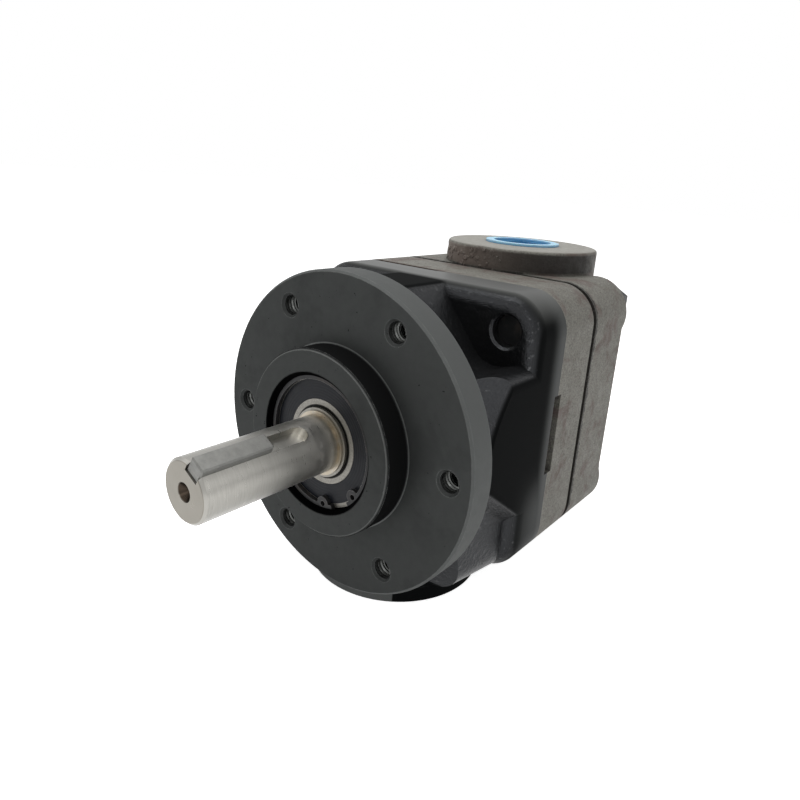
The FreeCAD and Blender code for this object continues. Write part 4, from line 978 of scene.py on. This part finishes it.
def thread_tree():
    """Helical thread ridge that stands in from a hole's wall, with sizes as inputs."""
    tree, inside, result = geometry_tree("Thread ridge", (
        ("Radius", "Float", 0.004), ("Pitch", "Float", 0.00125), ("Height", "Float", 0.0006),
        ("Turns", "Float", 8.0), ("Facets", "Int", 30), ("Finish", "Material", None),
    ))
    path = out(
        tree, "GeometryNodeCurveSpiral",
        {"Resolution": inside["Facets"], "Rotations": inside["Turns"],
         "Start Radius": inside["Radius"], "End Radius": inside["Radius"],
         "Height": product(inside["Turns"], inside["Pitch"])},
    )
    half = product(inside["Pitch"], 0.5)
    crest = product(inside["Height"], -1.0)
    root = 0.00005
    corners = ((0.0, half), (crest, 0.0), (0.0, product(half, -1.0)), (root, 0.0))
    points = {
        f"Point {place}": out(tree, "ShaderNodeCombineXYZ", {"X": x, "Y": y})
        for place, (x, y) in enumerate(corners, 1)
    }
    profile = out(tree, "GeometryNodeCurvePrimitiveQuadrilateral", points, mode="POINTS")
    solid = {"Curve": path, "Profile Curve": profile, "Fill Caps": True}
    close_tree(tree, out(tree, "GeometryNodeCurveToMesh", solid), inside["Finish"], result)
    return tree


def crumb_tree():
    """Rough grains strewn over the mesh that it is given."""
    tree, inside, result = geometry_tree("Strewn grains", (
        ("Ground", "Geometry", None), ("Density", "Float", 1000.0), ("Smallest", "Float", 0.0002),
        ("Largest", "Float", 0.0006), ("Flatness", "Float", 0.6), ("Seed", "Int", 3),
        ("Finish", "Material", None),
    ))
    spread = add(
        tree, "GeometryNodeDistributePointsOnFaces",
        {"Mesh": inside["Ground"], "Density": inside["Density"], "Seed": inside["Seed"]},
        distribute_method="RANDOM",
    ).outputs
    grain = out(tree, "GeometryNodeMeshIcoSphere", {"Radius": 1.0, "Subdivisions": 2})
    size = add(
        tree, "FunctionNodeRandomValue",
        {2: inside["Smallest"], 3: inside["Largest"], "Seed": inside["Seed"]}, data_type="FLOAT",
    ).outputs[1]
    rise = product(size, inside["Flatness"])
    scale = out(tree, "ShaderNodeCombineXYZ", {"X": size, "Y": size, "Z": rise})
    strewn = out(
        tree, "GeometryNodeInstanceOnPoints",
        {"Points": spread["Points"], "Instance": grain, "Rotation": spread["Rotation"],
         "Scale": scale},
    )
    real = out(tree, "GeometryNodeRealizeInstances", {"Geometry": strewn})
    waves_in_grain = 0.8
    waves = calc("DIVIDE", waves_in_grain, inside["Largest"])
    ragged = add(tree, "ShaderNodeTexNoise", {"Scale": waves, "Detail": 2.0}).outputs[1]
    centred = out(
        tree, "ShaderNodeVectorMath", {0: ragged, 1: (0.5, 0.5, 0.5)}, operation="SUBTRACT",
    )
    push = out(
        tree, "ShaderNodeVectorMath", {0: centred, "Scale": inside["Largest"]}, operation="SCALE",
    )
    rough = out(tree, "GeometryNodeSetPosition", {"Geometry": real, "Offset": push})
    close_tree(tree, rough, inside["Finish"], result)
    return tree


def grow(name, tree, values, ground=None):
    """The plain mesh that a geometry tree makes with these values, on a ground mesh if given."""
    holder = bpy.data.objects.new(name + "_maker", ground or bpy.data.meshes.new(name + "_maker"))
    bpy.context.scene.collection.objects.link(holder)
    modifier = holder.modifiers.new("tree", "NODES")
    modifier.node_group = tree
    for item in tree.interface.items_tree:
        if item.item_type == "SOCKET" and item.in_out == "INPUT" and item.name in values:
            modifier[item.identifier] = values[item.name]
    graph = bpy.context.evaluated_depsgraph_get()
    mesh = bpy.data.meshes.new_from_object(
        holder.evaluated_get(graph), preserve_all_data_layers=True, depsgraph=graph,
    )
    mesh.name = name
    bpy.data.objects.remove(holder)
    return mesh


def patch(name, node, keeps):
    """A mesh of those faces of a node that pass the test."""
    source = NODES[node].data
    corners, faces = [], []
    for face in source.polygons:
        if keeps(face):
            first = len(corners)
            corners += [source.vertices[index].co.copy() for index in face.vertices]
            faces.append(range(first, len(corners)))
    made = bpy.data.meshes.new(name)
    made.from_pydata(corners, [], faces)
    made.update()
    return made


def repeat(name, mesh, places):
    """One mesh with a copy of a mesh at each place."""
    corners, faces = [], []
    for place in places:
        first = len(corners)
        corners += [place @ vertex.co for vertex in mesh.vertices]
        faces += [[first + index for index in face.vertices] for face in mesh.polygons]
    made = bpy.data.meshes.new(name)
    made.from_pydata(corners, [], faces)
    for material in mesh.materials:
        made.materials.append(material)
    made.validate()
    made.update()
    return made


def seat(name, mesh):
    made = bpy.data.objects.new(name, mesh)
    bpy.context.scene.collection.objects.link(made)
    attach(made, BODY)


def cut(name, radius, pitch, crest, turns, facets, places):
    """Seats a thread ridge at each place."""
    mesh = grow(name, thread_tree(), {
        "Radius": radius, "Pitch": pitch, "Height": crest, "Turns": turns, "Facets": facets,
        "Finish": bpy.data.materials["thread_edge"],
    })
    seat(name, repeat(name, mesh, places))


def strew(name, keeps, density, size, smallest, flatness, seed):
    """Seats grains on those faces of the cover that pass the test; smallest is a share of size."""
    mesh = grow(name, crumb_tree(), {
        "Density": density, "Smallest": size * smallest, "Largest": size, "Flatness": flatness,
        "Seed": seed, "Finish": bpy.data.materials["bare_iron"],
    }, patch(name + "_ground", "rear_cover", keeps))
    seat(name, mesh)


class PUMP_OT_flange_threads(bpy.types.Operator):
    """Threads in the six flange holes"""
    bl_idname = "pump.flange_threads"
    bl_label = "Flange threads"

    def execute(self, context):
        settings = context.scene.pump_thread
        lie = Matrix.Rotation(math.radians(-90.0), 4, "X")
        inward = Vector((0.0, settings.hole_start, 0.0))
        places = []
        for hole in range(FLANGE_HOLES):
            turn = math.radians(360.0 * hole / FLANGE_HOLES)
            middle = Vector((math.cos(turn), 0.0, math.sin(turn))) * settings.hole_circle
            places.append(Matrix.Translation(middle + inward) @ lie)
        cut(
            "flange_threads", settings.hole_radius, settings.hole_pitch, settings.hole_crest,
            settings.hole_turns, settings.facets, places,
        )
        return {"FINISHED"}


class PUMP_OT_port_thread(bpy.types.Operator):
    """Thread in the inlet port"""
    bl_idname = "pump.port_thread"
    bl_label = "Inlet thread"

    def execute(self, context):
        settings = context.scene.pump_thread
        start = Vector((0.0, settings.port_middle, CAD_BOX[0].z + settings.port_start))
        cut(
            "inlet_thread", settings.port_radius, settings.port_pitch, settings.port_crest,
            settings.port_turns, settings.facets * 2, [Matrix.Translation(start)],
        )
        return {"FINISHED"}


class PUMP_OT_joint_crumbs(bpy.types.Operator):
    """Moulding-sand crumbs in the groove between ring and cover"""
    bl_idname = "pump.joint_crumbs"
    bl_label = "Joint crumbs"

    def execute(self, context):
        settings = context.scene.pump_crumb
        strew(
            "joint_crumbs", self.in_groove, settings.crumb_density, settings.crumb_size,
            smallest=0.3, flatness=0.8, seed=JOINT_SEED,
        )
        return {"FINISHED"}

    def in_groove(self, face):
        """Whether a face of the cover lies in the groove, below the frame's sides."""
        width, deep, shallow, slack = 0.0030, 0.0035, 0.0009, 0.0001
        outer = max(abs(face.center.x), abs(face.center.z))
        return (RING_BACK - slack < face.center.y < RING_BACK + width + slack
                and FRAME_SIDE - deep < outer < FRAME_SIDE - shallow)


class PUMP_OT_boss_lumps(bpy.types.Operator):
    """Cast lumps low on the front of the outlet boss"""
    bl_idname = "pump.boss_lumps"
    bl_label = "Boss lumps"

    def execute(self, context):
        settings = context.scene.pump_crumb
        strew(
            "boss_lumps", self.low_on_boss, settings.lump_density, settings.lump_size,
            smallest=0.25, flatness=0.3, seed=BOSS_SEED,
        )
        return {"FINISHED"}

    def low_on_boss(self, face):
        """Whether a face of the cover is on the boss's wall, low, to the front and left."""
        foot, bare, right_end = 0.0002, 0.0045, 0.004
        low = FRAME_SIDE + foot < face.center.z < BOSS_TOP - bare
        front = face.normal.y < -0.15 and face.center.x < right_end
        return low and front and abs(face.normal.z) < 0.5


class PUMP_PT_sidebar(bpy.types.Panel):
    """Steps that finish the pump"""
    bl_label = "Pump"
    bl_idname = "PUMP_PT_sidebar"
    bl_space_type = "VIEW_3D"
    bl_region_type = "UI"
    bl_category = "Pump"

    def draw(self, context):
        for step in STEPS:
            self.layout.operator(step.bl_idname)
        for name in SETTINGS:
            box = self.layout.box()
            group = getattr(context.scene, name)
            for label in group.__annotations__:
                box.prop(group, label)


SETTINGS = {
    "pump_stage": PumpStageSettings,
    "pump_casting": PumpCastingSettings,
    "pump_iron": PumpIronSettings,
    "pump_steel": PumpSteelSettings,
    "pump_soft": PumpSoftSettings,
    "pump_thread": PumpThreadSettings,
    "pump_crumb": PumpCrumbSettings,
}
STEPS = (
    PUMP_OT_stage, PUMP_OT_casting, PUMP_OT_iron, PUMP_OT_steel, PUMP_OT_soft,
    PUMP_OT_flange_threads, PUMP_OT_port_thread, PUMP_OT_joint_crumbs, PUMP_OT_boss_lumps,
)


def register():
    for made in (*SETTINGS.values(), *STEPS, PUMP_PT_sidebar):
        bpy.utils.register_class(made)
    for name, made in SETTINGS.items():
        setattr(bpy.types.Scene, name, bpy.props.PointerProperty(type=made))


def unregister():
    for name in SETTINGS:
        delattr(bpy.types.Scene, name)
    for made in reversed((*SETTINGS.values(), *STEPS, PUMP_PT_sidebar)):
        bpy.utils.unregister_class(made)


def main():
    register()
    for build in (build_edge_wear, build_sand_skin, build_turning_marks, build_stains):
        build()
    for step in STEPS:
        group, name = step.bl_idname.split(".")
        getattr(getattr(bpy.ops, group), name)()


if __name__ == "__main__":
    main()
